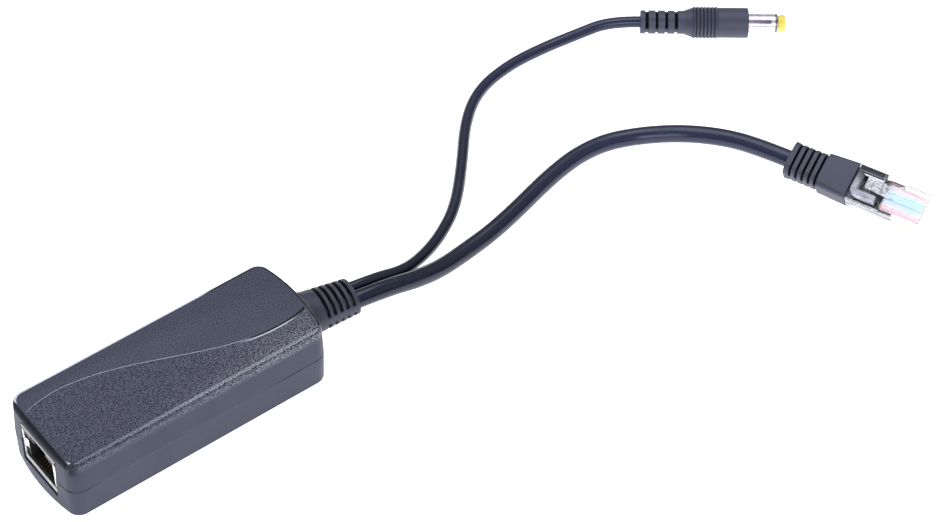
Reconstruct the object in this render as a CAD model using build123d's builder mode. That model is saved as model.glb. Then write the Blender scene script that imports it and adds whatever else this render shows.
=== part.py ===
from build123d import *
import math
import os

os.makedirs("parts", exist_ok=True)

# A small inline power-over-cable converter. The origin is at the middle of the case's
# underside, +X runs towards the cable end, +Z is up, and the table is at Z = 0.

# Case: two moulded shells that meet at the parting line
case_length = 82.0              # over both bowed ends, at the underside
case_width = 30.6
case_height = 20.0
parting_height = 9.9
side_draft = 0.3                # each side leans in by this at the top and at the bottom
plan_corner_radius = 4.0
top_edge_radius = 1.0
bottom_edge_radius = 1.0
wall = 1.8
roof = 1.8
floor = 1.6
cable_end_bow = 2.1
jack_bow_bottom = 2.1           # the jack end leans back, so its bow shrinks upwards
jack_bow_parting = 1.4
jack_bow_top = 0.6
parting_chamfer = 0.15          # fine line where the shells meet
tongue_height = 1.2
tongue_thickness = 0.85
tongue_clearance = 0.05

# Shallow rough field in the top, bounded by an S-shaped edge
field_depth = 0.25
field_rim = 1.5
field_edge_shares = ((-1.0, 0.41), (-0.77, 0.61), (-0.44, 0.54), (0.01, 0.12),
                     (0.48, -0.34), (0.83, -0.41), (1.0, -0.3))

# Posts that hold the board and press the shells together, two of them with a pin
post_diameter = 4.0
pin_diameter = 1.6
pin_clearance = 0.1
pin_reach = 3.5                 # above the board
post_edge_margin = 2.0
front_post_gap = 3.1
rear_post_margin = 3.5
board_post_gap = 0.1

# Circuit board
board_thickness = 1.2
board_height = 2.5              # underside above the table
board_side_gap = 0.9            # between the board and the case's wall
board_jack_margin = 4.0
board_cable_margin = 9.5
board_corner_cut = 2.0
hole_clearance = 0.1

# Data jack: folded shield round a moulded body
jack_width = 15.9
jack_roof_gap = 1.3             # between the jack and the case's roof
jack_depth = 18.4
jack_setback = 1.5              # behind the middle of the jack end at the underside
shield_thickness = 0.3
shield_bottom_lip = 1.3
shield_side_lip = 0.7
shield_top_lip = 0.7
corner_tab_height = 1.2
shield_keyway_width = 7.2
shield_leg_width = 1.5
shield_leg_setback = 9.0
shield_leg_reach = 1.8
finger_thickness = 0.2
finger_reach = 1.15
finger_margin = 0.3             # short of the window at both ends
short_finger_height = 3.0
jack_opening_clearance = 0.25
body_clearance = 0.05
body_setback = 0.6
socket_width = 11.9
socket_floor = 1.9              # above the board
socket_roof = 1.7               # above the keyway
socket_depth = 13.5
keyway_width = 6.4
keyway_height = 2.6
peg_diameter = 2.0
peg_reach = 1.5
peg_setback = 6.5
peg_spacing = 10.0

# Contacts of both the jack and the plug
contact_count = 8
contact_pitch = 1.02
contact_width = 0.4
contact_slot_width = 0.6
contact_base_height = 0.8       # above the board
contact_front_setback = 2.2
contact_front_rise = 0.5
contact_tip_rise = 4.1          # tip above the board
contact_tip_setback = 13.2
contact_pin_setback = 11.4
contact_pin_reach = 1.6

# Cable gland: inner flange, neck in the wall, collar and tapered relief
gland_yaw = -6.7
gland_droop = 2.5
gland_stand_off = 1.0           # root of the relief beyond the case
gland_length = 14.4
gland_half_width = 6.75
gland_tip_half_width = 5.6
gland_height_taper = 0.95       # half height lost from root to tip
collar_gap = 0.05
collar_length = 2.45
neck_inset = 0.4
neck_clearance = 0.1
flange_width = 17.0
flange_roof_gap = 1.4           # between the flange and the case's roof
flange_lap = 1.35               # flange above the oval
flange_thickness = 2.2
flange_corner_radius = 3.0
flange_wall_gap = 0.15
groove_count = 5
groove_start = 4.3
groove_pitch = 1.975
groove_width = 1.05
groove_depth = 1.0
web_angle = 8.0                 # above level, at both sides
web_width = 1.8
rib_thickness = 1.2
rib_gap = 0.1
tail_gap = 0.9                  # opening of the ribs round the tails

# Cables
data_cable_diameter = 5.1
power_cable_diameter = 3.4
data_cable_offset = -1.85       # across the gland
power_cable_offset = 2.65
tail_clearance = 0.05
cable_seat = 0.01               # gap between a cable's end and its plug
tail_strip_margin = 7.5         # jackets end this far inside the case's end
data_lead_diameter = 0.9
data_lead_pitch = 1.1
data_lead_row_gap = 1.0
data_pad_pitch = 1.85
upper_row_pad_margin = 3.7
lower_row_pad_margin = 1.5
power_lead_diameter = 1.1
power_lead_pitch = 1.5
power_pad_pitch = 2.2
power_pad_offset = 5.0
lead_sides = 8
lead_bend = 0.9                 # corner cut off where a lead turns down
lead_exit = 0.8                 # straight out of the tail

bend_share = 0.45               # of the shorter run, taken up by the bend at its end

# Centre lines of the cables, from the gland's end to the plugs
data_cable_route = [
    (56.082, -3.517, 9.371), (66.004, -4.683, 8.935), (75.0, -5.1, 6.5), (84.0, -4.2, 3.9),
    (94.0, -2.3, 2.55), (108.0, -0.3, 2.55), (135.5, 7.8, 2.55), (150.0, 8.2, 2.55),
    (161.0, 3.9, 2.55), (171.4, -3.3, 3.0), (179.0, -13.4, 4.5),
    (183.165, -23.682, 5.9), (186.53, -32.01, 5.9),
]
power_cable_route = [
    (56.607, 0.952, 9.371), (65.507, -0.093, 8.98), (74.5, -0.4, 6.2), (83.5, 2.9, 3.3),
    (92.5, 7.2, 1.7), (102.5, 13.4, 1.7), (113.0, 24.3, 1.7), (126.0, 39.6, 1.7),
    (137.0, 47.3, 1.7), (150.0, 50.0, 1.7), (162.0, 49.6, 1.8), (173.0, 47.2, 3.0),
    (182.902, 44.266, 4.7), (190.0, 38.7, 4.7),
]

# Barrel plug, along its own axis from its rear end
power_plug_yaw = -38.1
rib_radius = 3.45
rib_core_radius = 1.8
relief_rib_spans = ((0.0, 1.4), (2.4, 4.4), (5.2, 7.2), (8.1, 10.0), (11.0, 12.7))
relief_web_thickness = 1.5
relief_web_width = 6.2
relief_web_roll = 16.0
cone_end = 15.3
grip_radius = 4.7
grip_ring_count = 7
grip_ring_pitch = 1.07
grip_groove_depth = 0.3
nose_radius = 4.45
nose_end = 31.7
nose_edge_radius = 0.25
barrel_radius = 2.75
barrel_wall = 0.5
barrel_root = 27.7
barrel_collar_radius = 3.3      # holds the barrel in its moulded body
barrel_collar_stand = 0.1       # collar beyond the body's end
barrel_end = 40.5
barrel_bevel = 0.35
sleeve_clearance = 0.03
sleeve_wall = 0.74
tip_start = 41.1
tip_end = 42.6
tip_radius = 2.55
inner_contact_wall = 0.4
inner_contact_setback = 0.5

# Data plug, along its own axis back from its nose
data_plug_yaw = -68.0
data_plug_roll = 25.0           # lies tipped over by this
plug_width = 11.68
plug_height = 6.6
plug_length = 22.0
plug_edge_radius = 0.4
plug_pocket_width = 10.0
plug_pocket_height = 4.2
wire_pocket_start = 12.0
wire_pocket_end = 1.2
prong_end = 8.0
prong_width = 0.75
jacket_side_flat = 0.4
plug_wire_diameter = 0.95
pocket_clearance = 0.06
blade_thickness = 0.3
blade_length = 6.0
blade_setback = 0.8
blade_slot_width = 0.42
blade_recess = 0.25
latch_root = 1.4
latch_root_drop = 0.9
latch_lead_in = 1.5
latch_root_step = 1.0
latch_neck_rise = 2.5
latch_root_width = 6.2
latch_neck_width = 3.25
latch_neck_place = 7.5
latch_tail_place = 17.0
latch_thickness = 1.1
latch_tail_rise = 3.4
guard_front = 13.4
guard_rear = 20.8
guard_width = 8.8
guard_wall = 1.7
guard_rise = 3.0
boot_tongue = 1.5
boot_block_length = 9.0
boot_front_width = 11.5
boot_front_top = 4.0
boot_front_bottom = 3.4
boot_front_radius = 1.2
boot_rear_width = 10.7
boot_rear_top = 3.8
boot_rear_bottom = 3.6
boot_rear_radius = 1.6
boot_relief_length = 10.3
boot_relief_width = 10.0
boot_relief_height = 7.6
boot_relief_radius = 2.5
boot_groove_count = 5
boot_groove_pitch = 1.95
boot_groove_width = 0.8
boot_groove_depth = 1.3
boot_groove_start = 0.2
boot_web_width = 1.6
boot_flange_width = 10.2
boot_flange_height = 7.7
boot_flange_thickness = 0.9

# Electronic components on the board
block_chamfer = 0.3
magnetics_length = 9.0
magnetics_height = 5.4
magnetics_edge_margin = 3.3     # from the board's edge
magnetics_leg_count = 7
magnetics_leg_pitch = 1.27
magnetics_leg_width = 0.5
magnetics_leg_rise = 1.2
rectifier_length = 4.8
rectifier_width = 4.0
rectifier_height = 2.5
rectifier_edge_margin = 2.0
rectifier_gap = 3.3             # between the rectifiers and the magnetics
controller_length = 9.9
controller_width = 3.9
controller_height = 1.5
controller_edge_margin = 2.05
controller_leg_count = 8
controller_leg_pitch = 1.2
controller_leg_width = 0.4
controller_leg_rise = 0.7
leg_thickness = 0.2
leg_shoulder = 0.5
leg_slope = 0.3
leg_foot = 0.5
transformer_length = 13.0
transformer_stand = 1.2         # core above the board
transformer_roof_gap = 3.5
transformer_leg = 3.0
transformer_edge_margin = 0.9
winding_inset = 0.4             # winding inside the bobbin's flanges
bobbin_flange = 0.7
bobbin_step = 1.0               # upper flange shorter at both ends
bobbin_pin_count = 4
bobbin_pin_pitch = 2.4
bobbin_pin_width = 0.7
capacitor_bevel = 0.5
crimp_start = 1.2
crimp_width = 1.0
crimp_depth = 0.5
input_capacitor_diameter = 8.0
input_capacitor_roof_gap = 3.0
input_capacitor_edge_margin = 1.8
output_capacitor_diameter = 8.0
output_capacitor_roof_gap = 2.5
output_capacitor_edge_margin = 0.9
filter_capacitor_diameter = 5.0
filter_capacitor_roof_gap = 3.5
filter_capacitor_gap = 0.6      # between the two capacitors of the output
inductor_diameter = 7.8
inductor_height = 8.0
inductor_flange = 1.2
inductor_waist_depth = 0.5
inductor_recess_radius = 1.2
inductor_recess_depth = 0.8
inductor_edge_margin = 0.8
inductor_gap = 1.7              # between the inductor and the transformer
diode_length = 5.0
diode_width = 3.8
diode_height = 2.4
diode_edge_margin = 0.8
chip_part_length = 2.0
chip_part_width = 1.25
chip_part_height = 0.6
chip_part_count = 4
chip_part_pitch = 3.0
chip_part_gap = 2.0             # between the single chip part and the capacitor

# Component places along the board, as shares of the way from the jack to the board's end
chip_row_share = 0.06
magnetics_share = 0.185
rectifier_shares = (0.16, 0.3)
chip_single_share = 0.37
input_capacitor_share = 0.375
controller_share = 0.47
transformer_share = 0.61
inductor_share = 0.66
diode_share = 0.8
output_capacitor_share = 0.82
filter_capacitor_share = 0.835

# Places that follow from the sizes above
end_chord = case_length / 2 - cable_end_bow
cavity_top = case_height - roof
board_top = board_height + board_thickness
board_width = case_width - 2 * (wall + board_side_gap)
board_front = -(case_length / 2 - board_jack_margin)
board_rear = case_length / 2 - board_cable_margin
jack_front = -(case_length / 2 - jack_setback)
jack_rear = jack_front + jack_depth
jack_top = cavity_top - jack_roof_gap
jack_height = jack_top - board_top
socket_height = jack_height - socket_floor - keyway_height - socket_roof
gland_height = case_height / 2
flange_height = 2 * (cavity_top - flange_roof_gap - gland_height)
gland_half_height = flange_height / 2 - flange_lap
gland_tip_half_height = gland_half_height - gland_height_taper
post_places = [(x, y)
               for x in (jack_rear + front_post_gap, board_rear - rear_post_margin)
               for y in (-board_width / 2 + post_edge_margin, board_width / 2 - post_edge_margin)]
pin_places = (post_places[0], post_places[-1])
pin_top = board_top + pin_reach
beyond = case_length            # reaches past the case from any place in it


def draft_at(height):
    """How far the sides lean in at a height."""
    if height < parting_height:
        return side_draft * (parting_height - height) / parting_height
    return side_draft * (height - parting_height) / (case_height - parting_height)


def jack_bow_at(height):
    """Bow of the jack end at a height."""
    if height < parting_height:
        share = height / parting_height
        return jack_bow_bottom + (jack_bow_parting - jack_bow_bottom) * share
    share = (height - parting_height) / (case_height - parting_height)
    return jack_bow_parting + (jack_bow_top - jack_bow_parting) * share


def end_arc(bow, inset):
    """Chord and bow of a bowed end of the case after it is drawn in by inset."""
    half_width = case_width / 2
    radius = (half_width**2 + bow**2) / (2 * bow)
    inner_bow = radius - inset - math.sqrt((radius - inset)**2 - (half_width - inset)**2)
    return end_chord + bow - inset - inner_bow, inner_bow


def case_outline(height, inset=0.0):
    """The case cut level at a height and drawn in by inset."""
    drawn_in = inset + draft_at(height)
    half_width = case_width / 2 - drawn_in
    cable_x, cable_bow = end_arc(cable_end_bow, drawn_in)
    jack_x, jack_bow = end_arc(jack_bow_at(height), drawn_in)
    with BuildSketch(Plane.XY.offset(height), mode=Mode.PRIVATE) as outline:
        with BuildLine():
            Line((-jack_x, -half_width), (cable_x, -half_width))
            SagittaArc((cable_x, -half_width), (cable_x, half_width), -cable_bow)
            Line((cable_x, half_width), (-jack_x, half_width))
            SagittaArc((-jack_x, half_width), (-jack_x, -half_width), -jack_bow)
        make_face()
        fillet(outline.vertices(), plan_corner_radius - drawn_in)
    return outline.sketch


def finish(piece, name):
    """Label a finished piece and write it."""
    piece.part.label = name
    export_step(piece.part, f"parts/{name}.step")


wall_apex = case_length / 2 - wall - draft_at(cavity_top)
flange_front = wall_apex - cable_end_bow * (flange_width / case_width)**2 - flange_wall_gap
flange_back = flange_front - flange_thickness

# The gland's own plane: X across the gland, Y up, Z along it
yaw = math.radians(gland_yaw)
droop = math.radians(gland_droop)
gland_plane = Plane(
    origin=(case_length / 2 + gland_stand_off, 0, gland_height),
    x_dir=(-math.sin(yaw), math.cos(yaw), 0),
    z_dir=(math.cos(yaw) * math.cos(droop), math.sin(yaw) * math.cos(droop), -math.sin(droop)),
)
root_to_rib = case_length / 2 + gland_stand_off - flange_back + rib_gap + rib_thickness / 2
tail_rise = gland_height + root_to_rib * math.tan(droop)
tail_shift = -root_to_rib * math.tan(yaw)
tail_low = data_cable_offset - data_cable_diameter / 2
tail_high = power_cable_offset + power_cable_diameter / 2
tail_middle = tail_shift + (tail_low + tail_high) / 2
tail_span = tail_high - tail_low + 2 * tail_gap


def jack_opening():
    """Opening of the jack end, a little larger than the jack all round."""
    with BuildSketch(Plane.YZ.offset(-beyond), mode=Mode.PRIVATE) as opening:
        with Locations((0, board_top + jack_height / 2)):
            Rectangle(jack_width + 2 * jack_opening_clearance,
                      jack_height + 2 * jack_opening_clearance)
    return opening.sketch


def oval_at_wall(inset):
    """Oval of the gland where it goes through the cable end, drawn in by inset."""
    with BuildSketch(Plane.YZ.offset(flange_front), mode=Mode.PRIVATE) as oval:
        with Locations((0, gland_height)):
            Ellipse(gland_half_width - inset, gland_half_height - inset)
    return oval.sketch


def tail_opening():
    """Opening of the ribs for the two cable tails."""
    rib_front = flange_back - rib_thickness - 2 * rib_gap
    with BuildSketch(Plane.YZ.offset(rib_front), mode=Mode.PRIVATE) as opening:
        with Locations((tail_middle, tail_rise)):
            Rectangle(tail_span, data_cable_diameter + 2 * tail_gap)
    return opening.sketch


with BuildPart() as lower_case:
    loft([case_outline(0), case_outline(parting_height - parting_chamfer),
          case_outline(parting_height, parting_chamfer)], ruled=True)
    fillet(lower_case.faces().sort_by(Axis.Z)[0].edges(), bottom_edge_radius)
    extrude(case_outline(parting_height, wall), amount=floor - parting_height,
            mode=Mode.SUBTRACT)
    with BuildSketch(Plane.XY.offset(parting_height)):
        add(case_outline(parting_height, wall - tongue_thickness))
        add(case_outline(parting_height, wall), mode=Mode.SUBTRACT)
    extrude(amount=tongue_height)
    with BuildSketch(Plane.XY.offset(floor)):
        with Locations(*post_places):
            Circle(post_diameter / 2)
    extrude(amount=board_height - floor)
    with BuildSketch(Plane.XY.offset(board_height)):
        with Locations(*pin_places):
            Circle(pin_diameter / 2)
    extrude(amount=pin_top - board_height)
    with BuildSketch(Plane.XY.offset(floor / 2)):
        with Locations((flange_back - rib_gap - rib_thickness / 2, 0)):
            Rectangle(rib_thickness, case_width - wall)
    extrude(amount=parting_height - floor / 2)
    extrude(tail_opening(), amount=rib_thickness + 2 * rib_gap, mode=Mode.SUBTRACT)
    extrude(jack_opening(), amount=beyond + board_front, mode=Mode.SUBTRACT)
    extrude(oval_at_wall(neck_inset - neck_clearance), amount=beyond, mode=Mode.SUBTRACT)
finish(lower_case, "lower_case")

with BuildPart() as upper_case:
    loft([case_outline(parting_height, parting_chamfer),
          case_outline(parting_height + parting_chamfer), case_outline(case_height)],
         ruled=True)
    fillet(upper_case.faces().sort_by(Axis.Z)[-1].edges(), top_edge_radius)
    extrude(case_outline(cavity_top, wall), amount=parting_height - cavity_top,
            mode=Mode.SUBTRACT)
    extrude(case_outline(parting_height, wall - tongue_thickness - tongue_clearance),
            amount=tongue_height + tongue_clearance, mode=Mode.SUBTRACT)
    with BuildSketch(Plane.XY.offset(case_height)):
        with BuildLine():
            edge = Spline([(x * case_length / 2, y * case_width / 2)
                           for x, y in field_edge_shares])
            Polyline(edge @ 1, (edge @ 1 - (0, case_width)), (edge @ 0 - (0, case_width)),
                     edge @ 0)
        make_face()
        add(case_outline(case_height, field_rim), mode=Mode.INTERSECT)
    extrude(amount=-field_depth, mode=Mode.SUBTRACT)
    with BuildSketch(Plane.XY.offset(board_top + board_post_gap)):
        with Locations(*post_places):
            Circle(post_diameter / 2)
    extrude(amount=cavity_top - board_top - board_post_gap)
    with BuildSketch(Plane.XY.offset(board_top)):
        with Locations(*pin_places):
            Circle(pin_diameter / 2 + pin_clearance)
    extrude(amount=pin_reach + 2 * pin_clearance, mode=Mode.SUBTRACT)
    with BuildSketch(Plane.XY.offset(parting_height + tongue_clearance)):
        with Locations((flange_back - rib_gap - rib_thickness / 2, 0)):
            Rectangle(rib_thickness, board_width)
    extrude(amount=cavity_top - parting_height)
    extrude(tail_opening(), amount=rib_thickness + 2 * rib_gap, mode=Mode.SUBTRACT)
    extrude(jack_opening(), amount=beyond + board_front, mode=Mode.SUBTRACT)
    extrude(oval_at_wall(neck_inset - neck_clearance), amount=beyond, mode=Mode.SUBTRACT)
finish(upper_case, "upper_case")


def at_gland(shift, distance):
    """Plane across the gland's axis, moved sideways by shift."""
    return Plane(gland_plane.from_local_coords((shift, 0, distance)),
                 x_dir=gland_plane.x_dir, z_dir=gland_plane.z_dir)


def gland_oval(distance, inset=0.0):
    """Section of the tapered relief at a distance from its root."""
    share = distance / gland_length
    half_width = gland_half_width + (gland_tip_half_width - gland_half_width) * share
    half_height = gland_half_height + (gland_tip_half_height - gland_half_height) * share
    with BuildSketch(at_gland(0, distance), mode=Mode.PRIVATE) as oval:
        Ellipse(half_width - inset, half_height - inset)
    return oval.sketch


root_to_flange = case_length / 2 + gland_stand_off - flange_back
tail_length = gland_length + gland_stand_off + tail_strip_margin

with BuildPart() as cable_gland:
    with BuildSketch(Plane.YZ.offset(flange_back)):
        with Locations((0, gland_height)):
            RectangleRounded(flange_width, flange_height, flange_corner_radius)
    extrude(amount=flange_thickness)
    extrude(oval_at_wall(neck_inset), amount=case_length / 2 + collar_gap - flange_front)
    collar = oval_at_wall(0).moved(Location((case_length / 2 + collar_gap - flange_front, 0, 0)))
    extrude(collar, amount=collar_length)
    loft([gland_oval(0), gland_oval(gland_length)])
    for number in range(groove_count):
        place = groove_start + number * groove_pitch
        with BuildSketch(at_gland(0, place)):
            Circle(2 * gland_half_width)
            add(gland_oval(place, groove_depth), mode=Mode.SUBTRACT)
            for side in (-1, 1):
                with Locations(Location((0, 0), side * (90 + web_angle))):
                    with Locations((0, -gland_half_width)):
                        Rectangle(web_width, 2 * gland_half_width, mode=Mode.SUBTRACT)
        extrude(amount=groove_width, mode=Mode.SUBTRACT)
    for shift, diameter in ((data_cable_offset, data_cable_diameter),
                            (power_cable_offset, power_cable_diameter)):
        with BuildSketch(at_gland(shift, gland_length)):
            Circle(diameter / 2 + tail_clearance)
        extrude(amount=-(gland_length + root_to_flange + flange_thickness),
                mode=Mode.SUBTRACT)
finish(cable_gland, "cable_gland")

with BuildPart() as data_cable_tail:
    with BuildSketch(at_gland(data_cable_offset, gland_length)):
        Circle(data_cable_diameter / 2)
    extrude(amount=-tail_length)
finish(data_cable_tail, "data_cable_tail")

with BuildPart() as power_cable_tail:
    with BuildSketch(at_gland(power_cable_offset, gland_length)):
        Circle(power_cable_diameter / 2)
    extrude(amount=-tail_length)
finish(power_cable_tail, "power_cable_tail")

# The data jack stands on the board with its front in the opening of the jack end
jack_middle = board_top + jack_height / 2
inner_width = jack_width - 2 * shield_thickness
leg_y = (jack_width - shield_thickness) / 2
leg_x = jack_front + shield_leg_setback
peg_places = [(jack_front + peg_setback, side * peg_spacing / 2) for side in (-1, 1)]

with BuildPart() as jack_shield:
    with BuildSketch(Plane.YZ.offset(jack_front)):
        with Locations((0, jack_middle)):
            Rectangle(jack_width, jack_height)
    extrude(amount=jack_depth)
    fillet(jack_shield.edges().filter_by(Axis.X).group_by(Axis.Z)[-1], shield_thickness)
    with BuildSketch(Plane.YZ.offset(jack_front + shield_thickness)):
        with Locations((0, jack_middle - shield_thickness)):
            Rectangle(inner_width, jack_height)
    extrude(amount=jack_depth - 2 * shield_thickness, mode=Mode.SUBTRACT)
    with BuildSketch(Plane.YZ.offset(jack_front)) as window:
        with Locations((0, board_top + shield_bottom_lip)):
            Rectangle(jack_width - 2 * shield_side_lip,
                      jack_height - shield_bottom_lip - shield_top_lip - corner_tab_height,
                      align=(Align.CENTER, Align.MIN))
            Rectangle(shield_keyway_width,
                      jack_height - shield_bottom_lip - shield_top_lip,
                      align=(Align.CENTER, Align.MIN))
        fillet(window.vertices(), shield_thickness)
    extrude(amount=shield_thickness, mode=Mode.SUBTRACT)
    with BuildSketch(Plane.XY.offset(board_top)):
        with Locations((leg_x, -leg_y), (leg_x, leg_y)):
            Rectangle(shield_leg_width, shield_thickness)
    extrude(amount=-shield_leg_reach)
    for side, low, high in (
            (1, (jack_height - short_finger_height) / 2, (jack_height + short_finger_height) / 2),
            (-1, shield_bottom_lip + finger_margin,
             jack_height - shield_top_lip - corner_tab_height - finger_margin)):
        root = side * (jack_width / 2 - shield_side_lip)
        with BuildSketch(Plane.XY.offset(board_top + low)):
            with BuildLine():
                SagittaArc((jack_front + shield_thickness / 2, root),
                           (jack_front + body_setback - finger_thickness,
                            root - side * finger_reach), side * finger_thickness)
            trace(line_width=finger_thickness)
        extrude(amount=high - low)
finish(jack_shield, "jack_shield")

slot_back = jack_front + contact_pin_setback + contact_slot_width / 2
slot_front = jack_front + contact_front_setback - contact_slot_width / 2
slot_bottom = board_top + contact_base_height - contact_width / 2 - pocket_clearance
contact_rows = [(index - (contact_count - 1) / 2) * contact_pitch
                for index in range(contact_count)]
body_front = jack_front + body_setback
body_back = jack_rear - shield_thickness - body_clearance
body_top = jack_top - shield_thickness - body_clearance

with BuildPart() as jack_body:
    with BuildSketch(Plane.YZ.offset(body_front)):
        with Locations((0, board_top)):
            Rectangle(inner_width - 2 * body_clearance, body_top - board_top,
                      align=(Align.CENTER, Align.MIN))
    extrude(amount=body_back - body_front)
    with BuildSketch(Plane.YZ.offset(body_front)):
        with Locations((0, board_top + socket_floor)):
            Rectangle(socket_width, socket_height, align=(Align.CENTER, Align.MIN))
            Rectangle(keyway_width, socket_height + keyway_height,
                      align=(Align.CENTER, Align.MIN))
    extrude(amount=socket_depth, mode=Mode.SUBTRACT)
    with BuildSketch(Plane.XY.offset(slot_bottom)):
        for row in contact_rows:
            with Locations(((slot_front + slot_back) / 2, row)):
                Rectangle(slot_back - slot_front, contact_slot_width)
    extrude(amount=board_top + socket_floor - slot_bottom, mode=Mode.SUBTRACT)
    with BuildSketch(Plane.XY.offset(board_top)):
        for row in contact_rows:
            with Locations((jack_front + contact_pin_setback, row)):
                Rectangle(contact_slot_width, contact_slot_width)
    extrude(amount=socket_floor, mode=Mode.SUBTRACT)
    with BuildSketch(Plane.XY.offset(board_top)):
        with Locations(*peg_places):
            Circle(peg_diameter / 2)
    extrude(amount=-peg_reach)
finish(jack_body, "jack_body")

with BuildPart() as jack_contacts:
    for row in contact_rows:
        with BuildSketch(Plane.XZ.offset(-row)):
            with BuildLine():
                Polyline(
                    (jack_front + contact_pin_setback, board_top - contact_pin_reach),
                    (jack_front + contact_pin_setback, board_top + contact_base_height),
                    (jack_front + contact_front_setback, board_top + contact_base_height),
                    (jack_front + contact_front_setback,
                     board_top + contact_base_height + contact_front_rise),
                    (jack_front + contact_tip_setback, board_top + contact_tip_rise))
            trace(line_width=contact_width)
        extrude(amount=contact_width / 2, both=True)
finish(jack_contacts, "jack_contacts")

# Lead pads are at the cable end of the board, in line with the tails
row_of_four = (-1.5, -0.5, 0.5, 1.5)
row_of_two = (-0.5, 0.5)
data_pad_middle = tail_shift + data_cable_offset
upper_pads = [(board_rear - upper_row_pad_margin, data_pad_middle + share * data_pad_pitch)
              for share in row_of_four]
lower_pads = [(board_rear - lower_row_pad_margin, y) for x, y in upper_pads]
power_pads = [(board_rear - lower_row_pad_margin,
               power_pad_offset + share * power_pad_pitch) for share in row_of_two]

with BuildPart() as circuit_board:
    with BuildSketch(Plane.XY.offset(board_height)) as board_outline:
        with Locations(((board_front + board_rear) / 2, 0)):
            Rectangle(board_rear - board_front, board_width)
        chamfer(board_outline.vertices(), board_corner_cut)
        with Locations(*pin_places):
            Circle(pin_diameter / 2 + hole_clearance, mode=Mode.SUBTRACT)
        with Locations(*peg_places):
            Circle(peg_diameter / 2 + hole_clearance, mode=Mode.SUBTRACT)
        with Locations((leg_x, -leg_y), (leg_x, leg_y)):
            SlotOverall(shield_leg_width + 4 * hole_clearance,
                        shield_thickness + 4 * hole_clearance, mode=Mode.SUBTRACT)
        for row in contact_rows:
            with Locations((jack_front + contact_pin_setback, row)):
                Rectangle(contact_width + hole_clearance, contact_width + hole_clearance,
                          mode=Mode.SUBTRACT)
    extrude(amount=board_thickness)
finish(circuit_board, "circuit_board")


def pad_lead(start, pad, diameter):
    """One lead from a cable tail, turned down in two steps onto its pad on the board."""
    leave = start - gland_plane.z_dir * lead_exit
    corner = Vector(pad[0], pad[1], leave.Z)
    with BuildLine(mode=Mode.PRIVATE) as path:
        Polyline(start, leave, corner + (leave - corner).normalized() * lead_bend,
                 corner - Vector(0, 0, lead_bend), (pad[0], pad[1], board_top))
    run = path.wire()
    with BuildSketch(Plane(run @ 0, z_dir=run % 0), mode=Mode.PRIVATE) as section:
        RegularPolygon(diameter / 2, lead_sides)
    return sweep(section.sketch, path=run, transition=Transition.RIGHT, mode=Mode.PRIVATE)


data_tail_end = at_gland(data_cable_offset, gland_length - tail_length)
power_tail_end = at_gland(power_cable_offset, gland_length - tail_length)

with BuildPart() as data_leads:
    for pads, rise in zip((lower_pads, upper_pads), row_of_two):
        for share, pad in zip(row_of_four, pads):
            start = data_tail_end.from_local_coords((share * data_lead_pitch,
                                                     rise * data_lead_row_gap, 0))
            add(pad_lead(start, pad, data_lead_diameter))
finish(data_leads, "data_leads")

with BuildPart() as power_leads:
    for share, pad in zip(row_of_two, power_pads):
        start = power_tail_end.from_local_coords((share * power_lead_pitch, 0, 0))
        add(pad_lead(start, pad, power_lead_diameter))
finish(power_leads, "power_leads")

# Components stand on the board between the jack and the lead pads
zone = board_rear - jack_rear
near_edge = -board_width / 2
far_edge = board_width / 2
magnetics_width = (board_width - magnetics_edge_margin - rectifier_gap - rectifier_width
                   - rectifier_edge_margin)
transformer_width = (board_width - transformer_edge_margin - inductor_gap - inductor_diameter
                     - inductor_edge_margin)


def along(share):
    """Place along the board, as a share of the way from the jack to the board's end."""
    return jack_rear + share * zone


magnetics_place = (along(magnetics_share), near_edge + magnetics_edge_margin + magnetics_width / 2)
rectifier_places = [(along(share), far_edge - rectifier_edge_margin - rectifier_width / 2)
                    for share in rectifier_shares]
input_capacitor_place = (along(input_capacitor_share), near_edge + input_capacitor_edge_margin
                         + input_capacitor_diameter / 2)
controller_place = (along(controller_share),
                    far_edge - controller_edge_margin - controller_width / 2)
transformer_place = (along(transformer_share),
                     near_edge + transformer_edge_margin + transformer_width / 2)
inductor_place = (along(inductor_share),
                  far_edge - inductor_edge_margin - inductor_diameter / 2)
diode_place = (along(diode_share), far_edge - diode_edge_margin - diode_width / 2)
output_capacitor_place = (along(output_capacitor_share), near_edge + output_capacitor_edge_margin
                          + output_capacitor_diameter / 2)
filter_capacitor_place = (along(filter_capacitor_share), output_capacitor_place[1]
                          + (output_capacitor_diameter + filter_capacitor_diameter) / 2
                          + filter_capacitor_gap)
chip_part_places = [(along(chip_row_share), (index - (chip_part_count - 1) / 2) * chip_part_pitch)
                    for index in range(chip_part_count)]
chip_part_places.append((along(chip_single_share),
                         input_capacitor_place[1] + input_capacitor_diameter / 2
                         + chip_part_gap + chip_part_length / 2))


def block(places, length, width, height):
    """Flat moulded blocks on the board with a bevelled top edge."""
    with BuildPart(mode=Mode.PRIVATE) as blocks:
        with BuildSketch(Plane.XY.offset(board_top)):
            with Locations(*places):
                Rectangle(length, width)
        extrude(amount=height)
        chamfer(blocks.faces().group_by(Axis.Z)[-1].edges(), block_chamfer)
    return blocks.part


with BuildPart() as data_magnetics:
    add(block([magnetics_place], magnetics_length, magnetics_width, magnetics_height))
finish(data_magnetics, "data_magnetics")

with BuildPart() as bridge_rectifiers:
    add(block(rectifier_places, rectifier_length, rectifier_width, rectifier_height))
finish(bridge_rectifiers, "bridge_rectifiers")

with BuildPart() as controller_chip:
    add(block([controller_place], controller_length, controller_width, controller_height))
finish(controller_chip, "controller_chip")

with BuildPart() as output_diode:
    add(block([diode_place], diode_length, diode_width, diode_height))
finish(output_diode, "output_diode")


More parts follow.
